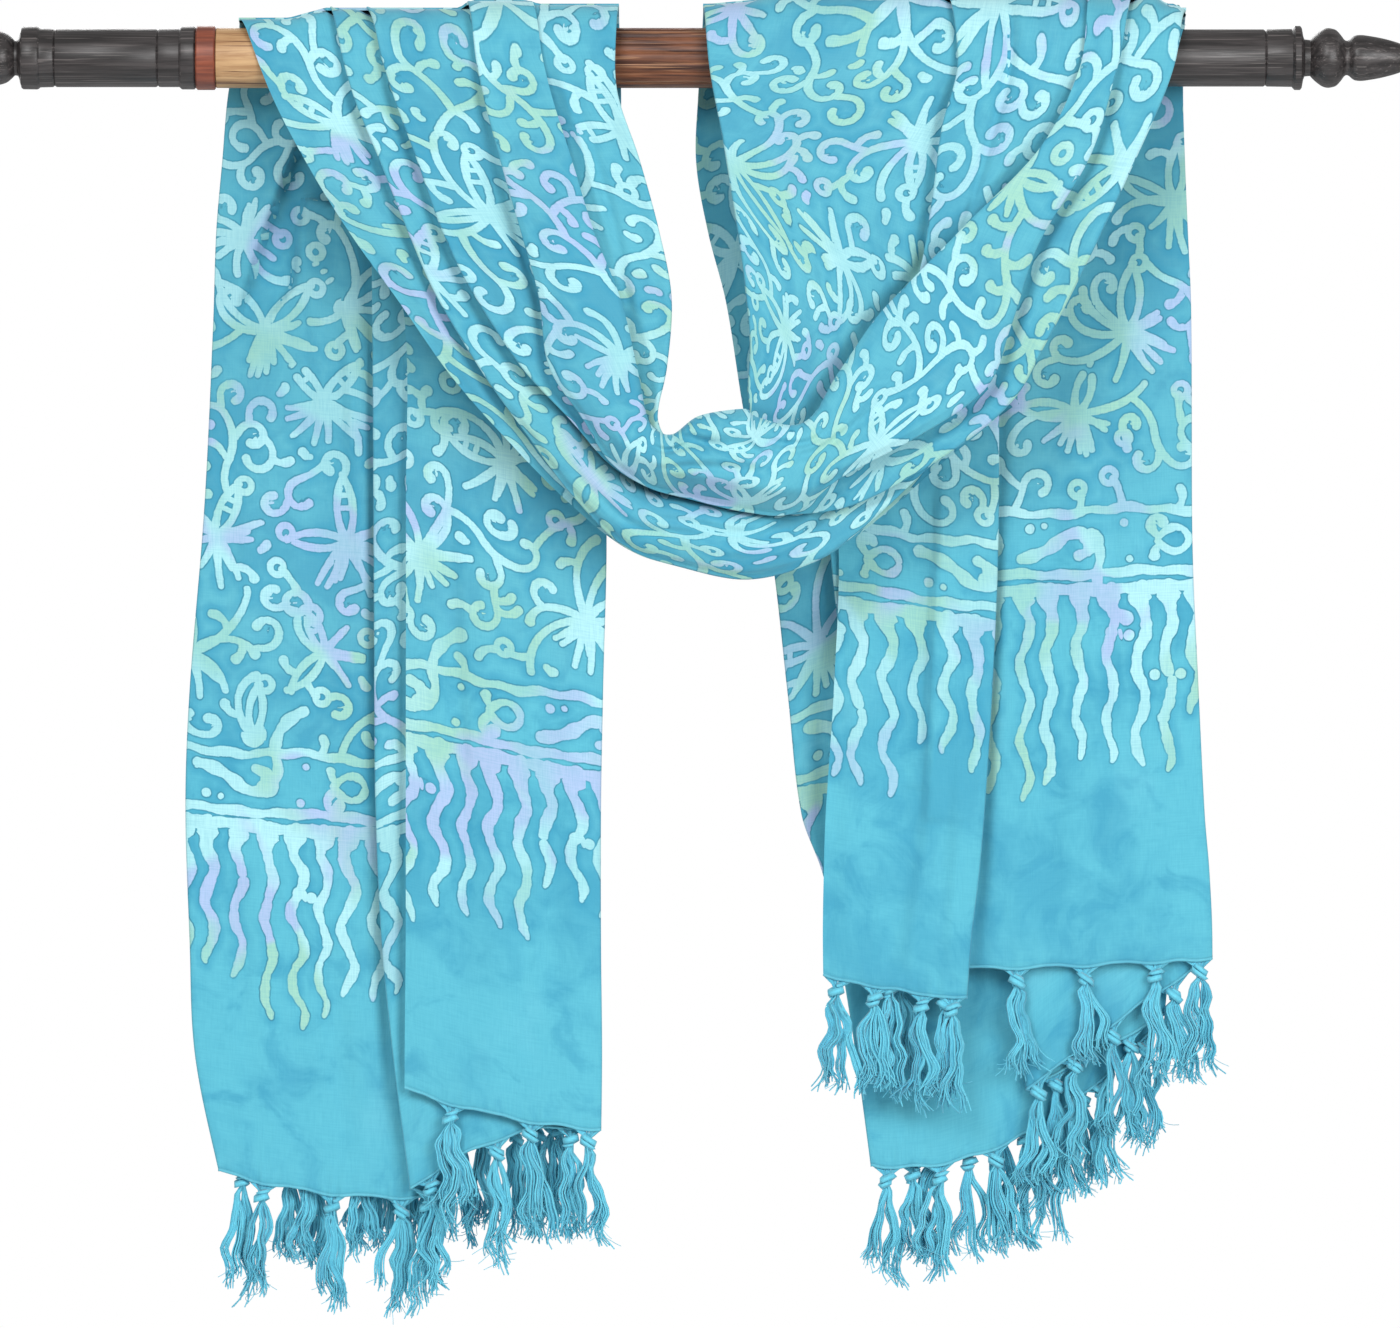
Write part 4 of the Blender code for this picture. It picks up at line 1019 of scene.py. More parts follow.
def add_drips(canvas, xs, top, scale):
    """Uneven wavy drips that hang from the lowest bar, some of them broken or run together."""
    random = canvas["random"]
    phase = random.uniform(0.0, 6.28)
    before = None
    for i, x in enumerate(xs):
        length = DRIP_LENGTHS[(i * 7 + int(xs[0])) % len(DRIP_LENGTHS)] * scale
        down = np.arange(0.0, length, LINE_STEP)
        wave = 2 * math.pi * down / (DRIP_WAVE * random.uniform(0.9, 1.12)) + phase + 0.25 * math.sin(i * 1.7)
        swing = DRIP_SWING * random.uniform(0.55, 1.05) * np.sin(wave) * np.minimum(1.0, down / 15.0)
        swing += 0.35 * np.sin(down * 0.43 + 2.0 * i) + random.uniform(-0.02, 0.02) * down
        ragged = 0.40 * np.sin(down * 0.31 + 1.3 * i) + 0.22 * np.sin(down * 0.97 + i)
        widths = 3.25 * random.uniform(0.84, 1.14) + ragged - 0.9 * down / length
        widths += 3.2 * np.exp(-(((down - 4.6) / 4.0) ** 2))
        widths[-4:] = np.minimum(widths[-4:], (2.2, 2.0, 1.7, 1.2))
        places = np.stack([x + random.uniform(-1.6, 1.6) + swing, top - down], axis=1)
        if i % 6 == 3:
            at = random.integers(len(places) // 3, len(places) * 2 // 3)
            draw(canvas, places[: at - 2], widths[: at - 2], with_buds=False)
            places, widths = places[at + 1 :], widths[at + 1 :]
        draw(canvas, places, widths, with_buds=False)
        if before is not None and random.random() < 0.22:
            at = random.integers(12, 34)
            halfway = (before[at] + places[min(at, len(places) - 1)]) / 2
            joined = np.stack([before[at], halfway - (0.0, 2.0)])
            draw(canvas, joined, np.array([3.4, 3.0]), with_buds=False)
        before = places if len(places) > 40 else None


def add_lattice_flowers(canvas):
    """Flowers on an uneven lattice where none has been placed."""
    random = canvas["random"]
    height, width = canvas["taken"].shape
    low = canvas["low"]
    for j, up in enumerate(np.arange(20.0, height, FLOWER_SPACING * 0.86)):
        shift = FLOWER_SPACING / 2 if j % 2 else 0.0
        for right in np.arange(10.0 + shift, width, FLOWER_SPACING):
            x, y = low + (right, up) + random.uniform(-9.0, 9.0, 2)
            spot = np.array([[x + a, y + b] for a in FLOWER_ROOM for b in FLOWER_ROOM])
            if is_free(canvas, spot):
                add_flower(canvas, x, y, random.uniform(28.0, 38.0), random.uniform(0.0, 6.28))


def print_canvas(places, seed, flowers, border_scale, full):
    """The wax lines on one stretch of cloth. border_scale is 0 where there is no border."""
    canvas = new_canvas(places, seed)
    if border_scale:
        add_border(canvas, border_scale)
        floor_row = int(BORDER_TOP * border_scale - canvas["low"][1])
        canvas["taken"][: max(0, floor_row)] = True
    for x, y, size, turn in flowers:
        add_flower(canvas, x, y, size, turn)
    add_lattice_flowers(canvas)
    if full:
        area = float((~canvas["taken"]).sum())
        random = canvas["random"]
        grow(canvas, [sweep(random) for _ in range(SWEEPS)], int(area / AREA_PER_SWEEP))
        grow(canvas, [growth(random) for _ in range(GROWTHS)], int(area / AREA_PER_GROWTH))
        scatter(canvas, [scroll(random) for _ in range(SCROLLS)], int(area / AREA_PER_SCROLL))
        small = [
            [curl(0.0, 0.0, 0.0, hand, stem, SMALL_CURL_RADIUS, random)]
            for hand in (-1, 1)
            for stem in (2.0, 5.0, 8.0, 12.0)
        ]
        small += [
            [stroke(0.0, 0.0, 0.0, [(length, bend, 1.6)], 1.0, 1.3)]
            for length in (11.0, 14.0)
            for bend in (-1.4, 1.4)
        ]
        grow(canvas, small, int(area / AREA_PER_SMALL))
        rings = [[eyelet(0.0, 0.0, 0.0, 1, radius)] for radius in (3.4, 4.0, 4.6)]
        scatter(canvas, rings, int(area / AREA_PER_RING))
        hooks = [[stroke(0.0, 0.0, 0.0, [(7.0, bend, 1.6)], 0.9, 1.3)] for bend in (-1.6, 1.6, 0.9)]
        scatter(canvas, hooks, int(area / AREA_PER_RING))
    return canvas


def ring_of(places):
    """(x, y, radius) where the places go once round a circle, or else (0, 0, 0)."""
    if len(places) < 12 or math.hypot(*(places[0] - places[-1])) > 2.5 * LINE_STEP:
        return 0.0, 0.0, 0.0
    middle = places.mean(axis=0)
    radii = np.hypot(*(places - middle).T)
    return (*middle, radii.mean()) if radii.std() < 0.4 else (0.0, 0.0, 0.0)


def nearest_lines(canvas, corners):
    """The two wax lines nearest to each face: for each, the nearest point of the line and its half
    width at every corner, and the radius where the line is a ring round that point. corners is
    (faces, 4, 2) in mm."""
    lines = canvas["lines"]
    samples = np.concatenate(lines)
    widths = np.concatenate(canvas["widths"])
    counts = np.array([len(line) for line in lines])
    ends = np.cumsum(counts)
    line_of = np.repeat(np.arange(len(lines)), counts)
    rings = np.array([ring_of(line) for line in lines])
    tree = KDTree(len(samples))
    for i, (x, y) in enumerate(samples):
        tree.insert((x, y, 0.0), i)
    tree.balance()
    chosen = np.zeros((2, len(corners)), dtype=int)
    for n, (x, y) in enumerate(corners.mean(axis=1)):
        found = sorted((d - widths[i], i) for _, i, d in tree.find_n((x, y, 0.0), SAMPLES_SEARCHED))
        first = found[0][1]
        chosen[:, n] = first
        for _, i in found[1:]:
            if line_of[i] != line_of[first] or abs(i - first) > SAMPLES_ALONG:
                chosen[1, n] = i
                break
    results = []
    for picked in chosen:
        line = line_of[picked]
        low, high = ends[line] - counts[line], ends[line] - 1
        best = np.full(corners.shape[:2], 1e9)
        near = np.zeros((*corners.shape[:2], 3))
        for offset in range(-SAMPLES_ALONG, SAMPLES_ALONG + 1):
            i = np.clip(picked + offset, low, high)
            away = np.hypot(corners[..., 0] - samples[i, 0, None], corners[..., 1] - samples[i, 1, None])
            closer = away < best
            best[closer] = away[closer]
            values = np.concatenate([samples[i], widths[i, None]], axis=1)
            near[closer] = np.broadcast_to(values[:, None, :], near.shape)[closer]
        ring = rings[line]
        round_line = ring[:, 2] > 0.0
        near[round_line, :, :2] = ring[round_line, None, :2]
        results.append((near, np.repeat(ring[:, 2, None], 4, axis=1)))
    return results


# ---- meshes ----

HEM_ROLL_RADIUS = 0.9
HEM_ROLL_TURNS = (0.9, 1.9, 2.9, 3.9, 4.9)
CANVAS_STRIDE = 2.0  # m between the stretches of cloth in the UV map, so that colours differ
CANVAS_PERIOD = 100.0  # m, taller than any canvas


def link_object(name, mesh):
    made = bpy.data.objects.new(name, mesh)
    bpy.context.scene.collection.objects.link(made)
    return made


def sheet_mesh(name, rows, canvas_height, canvases, hem_row):
    """A one-layer sheet from rows of (point, pass, flat x, flat drop, share).

    canvas_height(entry) gives a vertex's height on its canvas. Rows from hem_row on are the hem's roll.
    """
    columns = len(rows[0])
    points = [entry[0] * MM for row in rows for entry in row]
    faces = []
    for j in range(len(rows) - 1):
        for i in range(columns - 1):
            a = j * columns + i
            faces.append((a, a + 1, a + columns + 1, a + columns))
    mesh = bpy.data.meshes.new(name)
    mesh.from_pydata(points, [], faces)
    mesh.polygons.foreach_set("use_smooth", [True] * len(faces))
    passes = np.array([entry[1] for row in rows for entry in row])
    flat = np.array([(entry[2], canvas_height(entry)) for row in rows for entry in row])
    hem = np.zeros(len(flat))
    hem[hem_row * columns :] = 1.0
    mesh.attributes.new("hem", "FLOAT", "POINT").data.foreach_set("value", hem)
    faces = np.array(faces)
    pass_of_face = passes[faces[:, 0]]
    corners = flat[faces]
    lines = [(np.full((len(faces), 4, 3), FAR_AWAY), np.zeros((len(faces), 4))) for _ in range(2)]
    for k, canvas in canvases.items():
        on_pass = np.nonzero((pass_of_face == k) & (hem[faces[:, 0]] == 0.0))[0]
        for (near, ring), (found_near, found_ring) in zip(lines, nearest_lines(canvas, corners[on_pass])):
            near[on_pass] = found_near
            ring[on_pass] = found_ring
    for suffix, (near, ring) in zip(("a", "b"), lines):
        near *= MM
        near[..., 0] += CANVAS_STRIDE / 2
        line = mesh.attributes.new("line_" + suffix, "FLOAT_VECTOR", "CORNER")
        line.data.foreach_set("vector", near.ravel())
        mesh.attributes.new("ring_" + suffix, "FLOAT", "CORNER").data.foreach_set("value", ring.ravel() * MM)
    uv = corners * MM
    uv[..., 0] += (pass_of_face[:, None] + 0.5) * CANVAS_STRIDE
    mesh.uv_layers.new(name="cloth").data.foreach_set("uv", uv.ravel())
    mesh.update()
    return mesh


def places_of_pass(rows, k, canvas_height):
    return np.array([(entry[2], canvas_height(entry)) for row in rows for entry in row if entry[1] == k])


def below_crest(entry):
    """Height on the canvas of a vertex of the swag or a crest."""
    return -entry[3]


def make_crest_mesh(name, crest, fall, seed):
    rows = crest_rows(crest_profile(crest, fall))
    canvas = print_canvas(places_of_pass(rows, 0, below_crest), seed, (), 0.0, True)
    return sheet_mesh(name, rows[::-1], below_crest, {0: canvas}, len(rows))


def make_swag_mesh(seed):
    table = swag_table()
    last = len(table) - 1
    lengths = swag_lengths(table)
    rises = crest_rises()
    rows = [swag_row(table, lengths, rises, last * i / SWAG_ROWS) for i in range(SWAG_ROWS + 1)]
    canvases = {}
    for k in range(len(SWAG_COUNTS)):
        flowers = []
        for on, x, z, size, turn in SWAG_FLOWERS:
            if on == k:
                entries = (entry for row in rows for entry in row if entry[1] == k)
                nearest = min(entries, key=lambda entry: math.hypot(entry[0].x - x, entry[0].z - z))
                flowers.append((nearest[2], below_crest(nearest), size, turn))
        places = places_of_pass(rows, k, below_crest)
        canvases[k] = print_canvas(places, seed + k, flowers, 0.0, k != 1)
    return sheet_mesh("sarong_swag", rows, below_crest, canvases, len(rows))


def make_fall_mesh(fall, seed):
    rows = fall_rows(fall)
    hem_row = len(rows)
    folds = fall_folds(fall, 1.0)

    def height(entry):
        k, u = entry[1], entry[4]
        return blend(folds[k][1], folds[k + 1][1], u) - entry[3]

    canvases = {}
    for k in range(len(fall["counts"])):
        flowers = []
        for on, x, z, size, turn in fall["flowers"]:
            if on == k:
                u = (x - folds[k][0]) / (folds[k + 1][0] - folds[k][0])
                hem_z = QUARTER_WRAP - blend(folds[k][1], folds[k + 1][1], min(1.0, max(0.0, u)))
                flowers.append((x, z - hem_z, size, turn))
        places = places_of_pass(rows, k, height)
        canvases[k] = print_canvas(places, seed + k, flowers, fall["border_scale"], k not in fall["hidden"])
    hem = rows[-1]
    for turn in HEM_ROLL_TURNS:
        shift = Vector((0.0, -HEM_ROLL_RADIUS * (1 - math.cos(turn)), -HEM_ROLL_RADIUS * math.sin(turn)))
        rows.append([(entry[0] + shift, *entry[1:]) for entry in hem])
    return sheet_mesh("sarong_" + fall["name"], rows, height, canvases, hem_row), hem


LEFT = {
    **LEFT_FALL,
    "counts": LEFT_COUNTS,
    "rows": LEFT_HANGING_ROWS,
    "relief": LEFT_RELIEF,
    "tassels": LEFT_TASSELS,
    "flowers": LEFT_FLOWERS,
    "border_scale": 1.0,
    "hidden": (2,),
}
RIGHT = {
    **RIGHT_FALL,
    "counts": RIGHT_COUNTS,
    "rows": RIGHT_HANGING_ROWS,
    "relief": RIGHT_RELIEF,
    "tassels": RIGHT_TASSELS,
    "flowers": RIGHT_FLOWERS,
    "border_scale": 1.06,
    "hidden": (1, 4),
}


# ---- nodes ----


def add_node(tree, kind, values=None, **settings):
    """A node with its settings and the values of its inputs, each a value or another node's output."""
    node = tree.nodes.new(kind)
    for key, value in settings.items():
        setattr(node, key, value)
    for key, value in (values or {}).items():
        if isinstance(value, bpy.types.NodeSocket):
            tree.links.new(value, node.inputs[key])
        else:
            node.inputs[key].default_value = value
    return node


def maths(tree, operation, first, second):
    return add_node(tree, "ShaderNodeMath", {0: first, 1: second}, operation=operation).outputs["Value"]


def vector_maths(tree, operation, first, second, output="Vector"):
    values = {0: first, 1: second}
    return add_node(tree, "ShaderNodeVectorMath", values, operation=operation).outputs[output]


# ---- fringe ----

STRANDS = 4
THREADS_IN_STRAND = 10
THREAD_POINTS = 16
FLUFF = 22
KNOT_DROP = 7.0
KNOT_TURNS = 1.8
KNOT_POINTS = 25
TASSEL_LENGTH = 56.0
THREAD_RADIUS, THREAD_TAPER = 0.70, 0.28
HAIR_RADIUS = 0.2
HAIR_STEPS = (0.0, 0.25, 0.5, 0.75, 1.0)
LOOSE_FROM, LOOSE_LENGTH = 0.8, 0.2  # share of a thread from which it frays
TASSEL_SEED = 9000


def tassel_threads(hem_at, knot_x, seed, lines):
    """Threads that gather from the hem into a knot and hang below it in wavy strands, as lists of
    (point, radius, tone)."""
    random = np.random.default_rng(seed)
    knot = hem_at(knot_x) + Vector((0.0, -0.4, -KNOT_DROP))
    sweep = random.uniform(-5.0, 5.0)
    length = TASSEL_LENGTH * random.uniform(0.88, 1.1)
    girth = random.uniform(6.5, 10.5)
    sway = random.uniform(0.0, 6.28)
    sway_length = random.uniform(26.0, 40.0)
    tips = []
    for strand in range(STRANDS):
        seat = (strand - (STRANDS - 1) / 2) / STRANDS * 2
        part = random.normal(0.0, 2.0) + 4.0 * seat
        own = (random.uniform(0.8, 2.6), random.uniform(34.0, 60.0), random.uniform(0.0, 6.28))
        wave = random.uniform(0.0, 6.28, 2)
        wave_length = random.uniform(13.0, 20.0)
        swing = random.uniform(0.3, 1.1)
        strand_depth = random.uniform(-2.2, 2.2)
        strand_length = length * random.uniform(0.74, 1.06)
        strand_tone = random.uniform(0.3, 0.9)
        for n in range(THREADS_IN_STRAND):
            across = (n + 0.5) / THREADS_IN_STRAND - 0.5 + random.normal(0.0, 0.05)
            tone = strand_tone + random.uniform(-0.25, 0.25)
            side = 0.5 * seat + 0.35 * across
            depth = random.normal(0.0, 0.45)
            reach = strand_length * random.uniform(0.86, 1.0)
            fray = random.normal(0.0, 2.6, 2)
            root = hem_at(knot_x + 15.0 * side)
            root.z -= 0.2
            middle = root.lerp(knot, 0.55)
            middle.x = blend(root.x, knot.x, 0.7)
            line = [
                (root, 0.42, tone),
                (middle, 0.45, tone),
                (knot + Vector((side * 2.4, depth * 1.5, 2.0)), 0.5, tone),
                (knot + Vector((side * 2.6, depth * 1.6, -3.0)), 0.55, tone),
            ]
            for i in range(1, THREAD_POINTS):
                t = i / (THREAD_POINTS - 1)
                down = 3.4 + reach * t
                fan = 1.0 - math.exp(-down / 7.5)
                loose = max(0.0, (t - LOOSE_FROM) / LOOSE_LENGTH) ** 1.5
                x = (sweep + part) * t + fan * girth * (0.56 * seat + 0.36 * across * (1.0 + 0.7 * t))
                x += own[0] * fan * math.sin(2 * math.pi * down / own[1] + own[2])
                x += 1.4 * fan * math.sin(2 * math.pi * down / sway_length + sway)
                x += swing * fan * math.sin(2 * math.pi * down / wave_length + wave[0]) + fray[0] * loose
                y = fan * (strand_depth + depth * 1.7) + fray[1] * loose
                y += 0.6 * fan * math.sin(2 * math.pi * down / wave_length + wave[1])
                line.append((knot + Vector((x, y, -down)), THREAD_RADIUS - THREAD_TAPER * t * t, tone))
            lines.append(line)
            tips.append((line[-3][0], tone))
    for _ in range(FLUFF):
        start, tone = tips[random.integers(len(tips))]
        x, y, down = random.normal(0.0, 1.0), random.normal(0.0, 0.6), random.uniform(0.3, 1.6)
        away = Vector((x, y, -down)).normalized()
        x, y, up = random.normal(0.0, 1.0), random.normal(0.0, 0.6), random.normal(0.2, 0.8)
        curl_back = Vector((x, y, up)).normalized()
        reach = random.uniform(4.0, 9.0)
        hair = [start + away * (reach * t) + curl_back * (reach * 0.6 * t * t) for t in HAIR_STEPS]
        lines.append([(at, HAIR_RADIUS, tone) for at in hair])
    wrap = []
    tilt = random.uniform(0.7, 1.2) * either_hand(random)
    for i in range(KNOT_POINTS):
        t = i / (KNOT_POINTS - 1)
        angle = 2 * math.pi * KNOT_TURNS * t + seed
        radius = 2.2 + 1.5 * math.sin(math.pi * t)
        across = radius * math.cos(angle)
        offset = Vector((across, 0.8 * radius * math.sin(angle), 3.0 - 5.4 * t + tilt * across * 0.55))
        wrap.append((knot + offset, 1.5 + 0.5 * math.sin(math.pi * t), 0.7 + 0.2 * math.sin(9.0 * t)))
    lines.append(wrap)


def yarn_tree():
    """Turns loose edges into crimped yarn."""
    tree = bpy.data.node_groups.get("Yarn Threads")
    if tree:
        return tree
    tree = bpy.data.node_groups.new("Yarn Threads", "GeometryNodeTree")
    for label, kind, default in (
        ("Geometry", "NodeSocketGeometry", None),
        ("Thread Size", "NodeSocketFloat", 1.0),
        ("Crimp Depth", "NodeSocketFloat", 0.0008),
        ("Crimp Length", "NodeSocketFloat", 0.005),
        ("Sides", "NodeSocketInt", 3),
        ("Seed", "NodeSocketInt", 7),
        ("Material", "NodeSocketMaterial", None),
    ):
        socket = tree.interface.new_socket(label, in_out="INPUT", socket_type=kind)
        if default is not None:
            socket.default_value = default
    tree.interface.new_socket("Geometry", in_out="OUTPUT", socket_type="NodeSocketGeometry")
    given = tree.nodes.new("NodeGroupInput").outputs
    result = tree.nodes.new("NodeGroupOutput")

    def linked(kind, output, values=None, **settings):
        return add_node(tree, kind, values, **settings).outputs[output]

    threads = linked("GeometryNodeMeshToCurve", "Curve", {"Mesh": given["Geometry"]})
    place = linked("GeometryNodeInputPosition", "Position")
    waves = {"Vector": place, "W": given["Seed"], "Scale": maths(tree, "DIVIDE", 1.0, given["Crimp Length"])}
    crimp = linked("ShaderNodeTexNoise", "Color", waves, noise_dimensions="4D")
    both_ways = {0: vector_maths(tree, "SUBTRACT", crimp, (0.5, 0.5, 0.5)), "Scale": given["Crimp Depth"]}
    offset = linked("ShaderNodeVectorMath", "Vector", both_ways, operation="SCALE")
    crimped = linked("GeometryNodeSetPosition", "Geometry", {"Geometry": threads, "Offset": offset})
    attribute = {"Name": "thread_radius"}
    radius = linked("GeometryNodeInputNamedAttribute", "Attribute", attribute, data_type="FLOAT")
    radius = maths(tree, "MULTIPLY", radius, given["Thread Size"])
    sized = linked("GeometryNodeSetCurveRadius", "Curve", {"Curve": crimped, "Radius": radius})
    section = {"Radius": 1.0, "Resolution": given["Sides"]}
    section = linked("GeometryNodeCurvePrimitiveCircle", "Curve", section)
    parts = {"Curve": sized, "Profile Curve": section, "Fill Caps": True}
    tube = add_node(tree, "GeometryNodeCurveToMesh", parts)
    if "Scale" in tube.inputs:
        tree.links.new(radius, tube.inputs["Scale"])
    real = linked("GeometryNodeRealizeInstances", "Geometry", {"Geometry": tube.outputs["Mesh"]})
    dyed = linked("GeometryNodeSetMaterial", "Geometry", {"Geometry": real, "Material": given["Material"]})
    tree.links.new(dyed, result.inputs["Geometry"])
    return tree


def with_tree(source, tree, name, **values):
    """A plain mesh object from source with the tree applied. values are the tree's inputs by name."""
    modifier = source.modifiers.new(tree.name, "NODES")
    modifier.node_group = tree
    for item in tree.interface.items_tree:
        if item.in_out == "INPUT" and item.name in values:
            modifier[item.identifier] = values[item.name]
    depsgraph = bpy.context.evaluated_depsgraph_get()
    mesh = bpy.data.meshes.new_from_object(source.evaluated_get(depsgraph))
    mesh.name = name
    source.modifiers.remove(modifier)
    bpy.data.objects.remove(source, do_unlink=True)
    return link_object(name, mesh)


def make_fringe(name, fall, hem, yarn):
    lines = []
    for k, knots in enumerate(fall["tassels"]):
        edge = sorted((entry[0] for entry in hem if entry[1] == k), key=lambda p: p.x)
        xs = [p.x for p in edge]

        def hem_at(x):
            x = min(xs[-1] - 0.01, max(xs[0], x))
            i = max(n for n in range(len(xs) - 1) if xs[n] <= x)
            return edge[i].lerp(edge[i + 1], (x - xs[i]) / max(1e-6, xs[i + 1] - xs[i]))

        for knot_x in knots:
            tassel_threads(hem_at, knot_x, int(TASSEL_SEED + knot_x * 10 + 97 * k), lines)
    points = []
    edges = []
    radii = []
    tones = []
    for line in lines:
        first = len(points)
        for at, radius, tone in line:
            points.append(at * MM)
            radii.append(radius * MM)
            tones.append(tone)
        edges += [(first + i, first + i + 1) for i in range(len(line) - 1)]
    mesh = bpy.data.meshes.new(name + "_lines")
    mesh.from_pydata(points, edges, [])
    mesh.attributes.new("thread_radius", "FLOAT", "POINT").data.foreach_set("value", radii)
    mesh.attributes.new("tone", "FLOAT", "POINT").data.foreach_set("value", tones)
    source = link_object(name + "_lines", mesh)
    return with_tree(source, yarn_tree(), name, Material=yarn)


# ---- rod ----

LATHE_SIDES = 96
SHAFT_TURNED = ((-154.0, 16.2), (-153.2, 16.5), (249.2, 16.5), (250.0, 16.2))
SLEEVE_TURNED = ((-266.0, 16.1), (-265.6, 16.5), (-154.8, 16.5), (-154.3, 16.1))
BAND_TURNED = ((-277.0, 16.8), (-276.2, 17.6), (-267.1, 17.6), (-266.3, 16.8))
FLUTES = (
    # angle in degrees from the top towards the front, depth, half width in degrees
    (-38.0, 0.9, 5.0),
    (-14.0, 0.5, 3.0),
    (8.0, 0.9, 4.5),
    (27.0, 0.6, 3.0),
    (46.0, 1.0, 5.0),
    (64.0, 0.5, 3.0),
    (83.0, 0.9, 4.5),
    (104.0, 0.6, 3.5),
    (125.0, 0.9, 5.0),
    (150.0, 0.7, 4.0),
    (178.0, 0.9, 5.0),
    (206.0, 0.7, 4.0),
    (232.0, 0.9, 5.0),
    (262.0, 0.6, 4.0),
    (292.0, 0.9, 5.0),
)
LEFT_HANDLE_TURNED = (
    # x, radius
    (-277.3, 16.4), (-278.1, 17.3), (-284.7, 17.3), (-285.5, 16.8), (-286.2, 16.0), (-297.1, 16.0),
    (-297.7, 15.6), (-298.1, 15.2), (-298.5, 15.6), (-299.1, 16.0), (-353.8, 16.0), (-354.4, 15.6),
    (-354.8, 15.2), (-355.2, 15.6), (-355.8, 16.0), (-362.8, 16.2), (-363.6, 16.9), (-364.4, 17.3),
    (-372.0, 17.2), (-373.0, 16.6), (-373.8, 14.0), (-374.6, 10.6), (-375.4, 9.7), (-376.8, 9.6),
)
LEFT_HANDLE_ROUND = (
    (-376.8, 9.6), (-378.6, 11.4), (-381.5, 13.6), (-386.5, 14.8), (-391.5, 13.4), (-394.4, 11.0),
    (-395.8, 9.5), (-397.6, 9.5), (-401.0, 11.4), (-408.0, 11.9), (-420.0, 10.2), (-429.0, 7.2),
    (-431.6, 5.2), (-432.5, 2.6),
)
RIGHT_HANDLE_TURNED = (
    (250.3, 14.9), (251.0, 15.7), (309.8, 15.7), (310.4, 15.3), (310.8, 14.9), (311.2, 15.3), (311.8, 15.7),
    (325.4, 15.9), (326.2, 16.8), (327.0, 17.6), (330.0, 17.6), (330.8, 16.6), (331.6, 12.2), (332.4, 10.2),
    (335.4, 9.9),
)
RIGHT_HANDLE_ROUND = (
    (335.4, 9.9), (337.2, 11.8), (339.5, 13.8), (342.2, 15.6), (345.0, 16.4), (347.6, 16.1), (350.0, 15.2),
    (352.6, 12.4), (354.6, 9.8), (356.4, 9.6), (359.5, 12.0), (362.5, 12.6), (366.0, 12.4), (376.0, 10.6),
    (386.0, 7.6), (390.0, 5.0), (391.0, 2.4),
)


def turned_mesh(name, profile, radius_at=None):
    """A solid turned round the rod's axis. radius_at(angle) changes the radius round the section."""
    points = []
    for x, radius in profile:
        for i in range(LATHE_SIDES):
            angle = 2 * math.pi * i / LATHE_SIDES
            r = radius + (radius_at(math.degrees(angle)) if radius_at else 0.0)
            points.append((x * MM, -r * math.sin(angle) * MM, r * math.cos(angle) * MM))
    rising = profile[-1][0] > profile[0][0]
    faces = []
    for j in range(len(profile) - 1):
        for i in range(LATHE_SIDES):
            n = (i + 1) % LATHE_SIDES
            a = j * LATHE_SIDES
            b = a + LATHE_SIDES
            quad = (a + i, a + n, b + n, b + i)
            faces.append(quad if rising else quad[::-1])
    start = tuple(range(LATHE_SIDES))
    end = tuple(range((len(profile) - 1) * LATHE_SIDES, len(profile) * LATHE_SIDES))
    faces.append(start[::-1] if rising else start)
    faces.append(end if rising else end[::-1])
    mesh = bpy.data.meshes.new(name)
    mesh.from_pydata(points, [], faces)
    mesh.polygons.foreach_set("use_smooth", [True] * len(faces))
    mesh.set_sharp_from_angle(angle=math.radians(38))
    return mesh


def rounded(rows, count):
    """The profile's rows with a smooth curve through them."""
    start, end = rows[0][0], rows[-1][0]
    xs = [blend(start, end, i / count) for i in range(count)]
    return (*((x, spline(rows, x, 1)) for x in xs), rows[-1])


def flute_depth(angle):
    depth = 0.0
    for middle, deep, half_width in FLUTES:
        away = (angle - middle + 180.0) % 360.0 - 180.0
        depth -= deep * bump(away / half_width)
    return depth


# ---- materials ----


def new_material(name):
    material = bpy.data.materials.new(name)
    material.use_nodes = True
    return material, material.node_tree, material.node_tree.nodes["Principled BSDF"]


def noise_of(tree, vector, scale, detail=3.0, roughness=0.5, distortion=0.0):
    values = {
        "Vector": vector,
        "Scale": scale,
        "Detail": detail,
        "Roughness": roughness,
        "Distortion": distortion,
    }
    return add_node(tree, "ShaderNodeTexNoise", values).outputs["Fac"]


def stretched(tree, vector, scale, location=(0.0, 0.0, 0.0)):
    values = {"Vector": vector, "Scale": scale, "Location": location}
    return add_node(tree, "ShaderNodeMapping", values).outputs["Vector"]


def ramp(tree, value, low, high, start=0.0, end=1.0):
    """value from low to high becomes start to end, softly and without overshoot."""
    values = {"Value": value, "From Min": low, "From Max": high, "To Min": start, "To Max": end}
    return add_node(tree, "ShaderNodeMapRange", values, interpolation_type="SMOOTHSTEP").outputs["Result"]


def mixed(tree, share, first, second):
    """Two colours mixed. Each is a colour or another node's output."""
    node = add_node(tree, "ShaderNodeMix", data_type="RGBA")
    for socket, value in ((node.inputs[0], share), (node.inputs[6], first), (node.inputs[7], second)):
        if isinstance(value, bpy.types.NodeSocket):
            tree.links.new(value, socket)
        elif isinstance(value, float):
            socket.default_value = value
        else:
            socket.default_value = (*tuple(value)[:3], 1.0)
    return node.outputs[2]


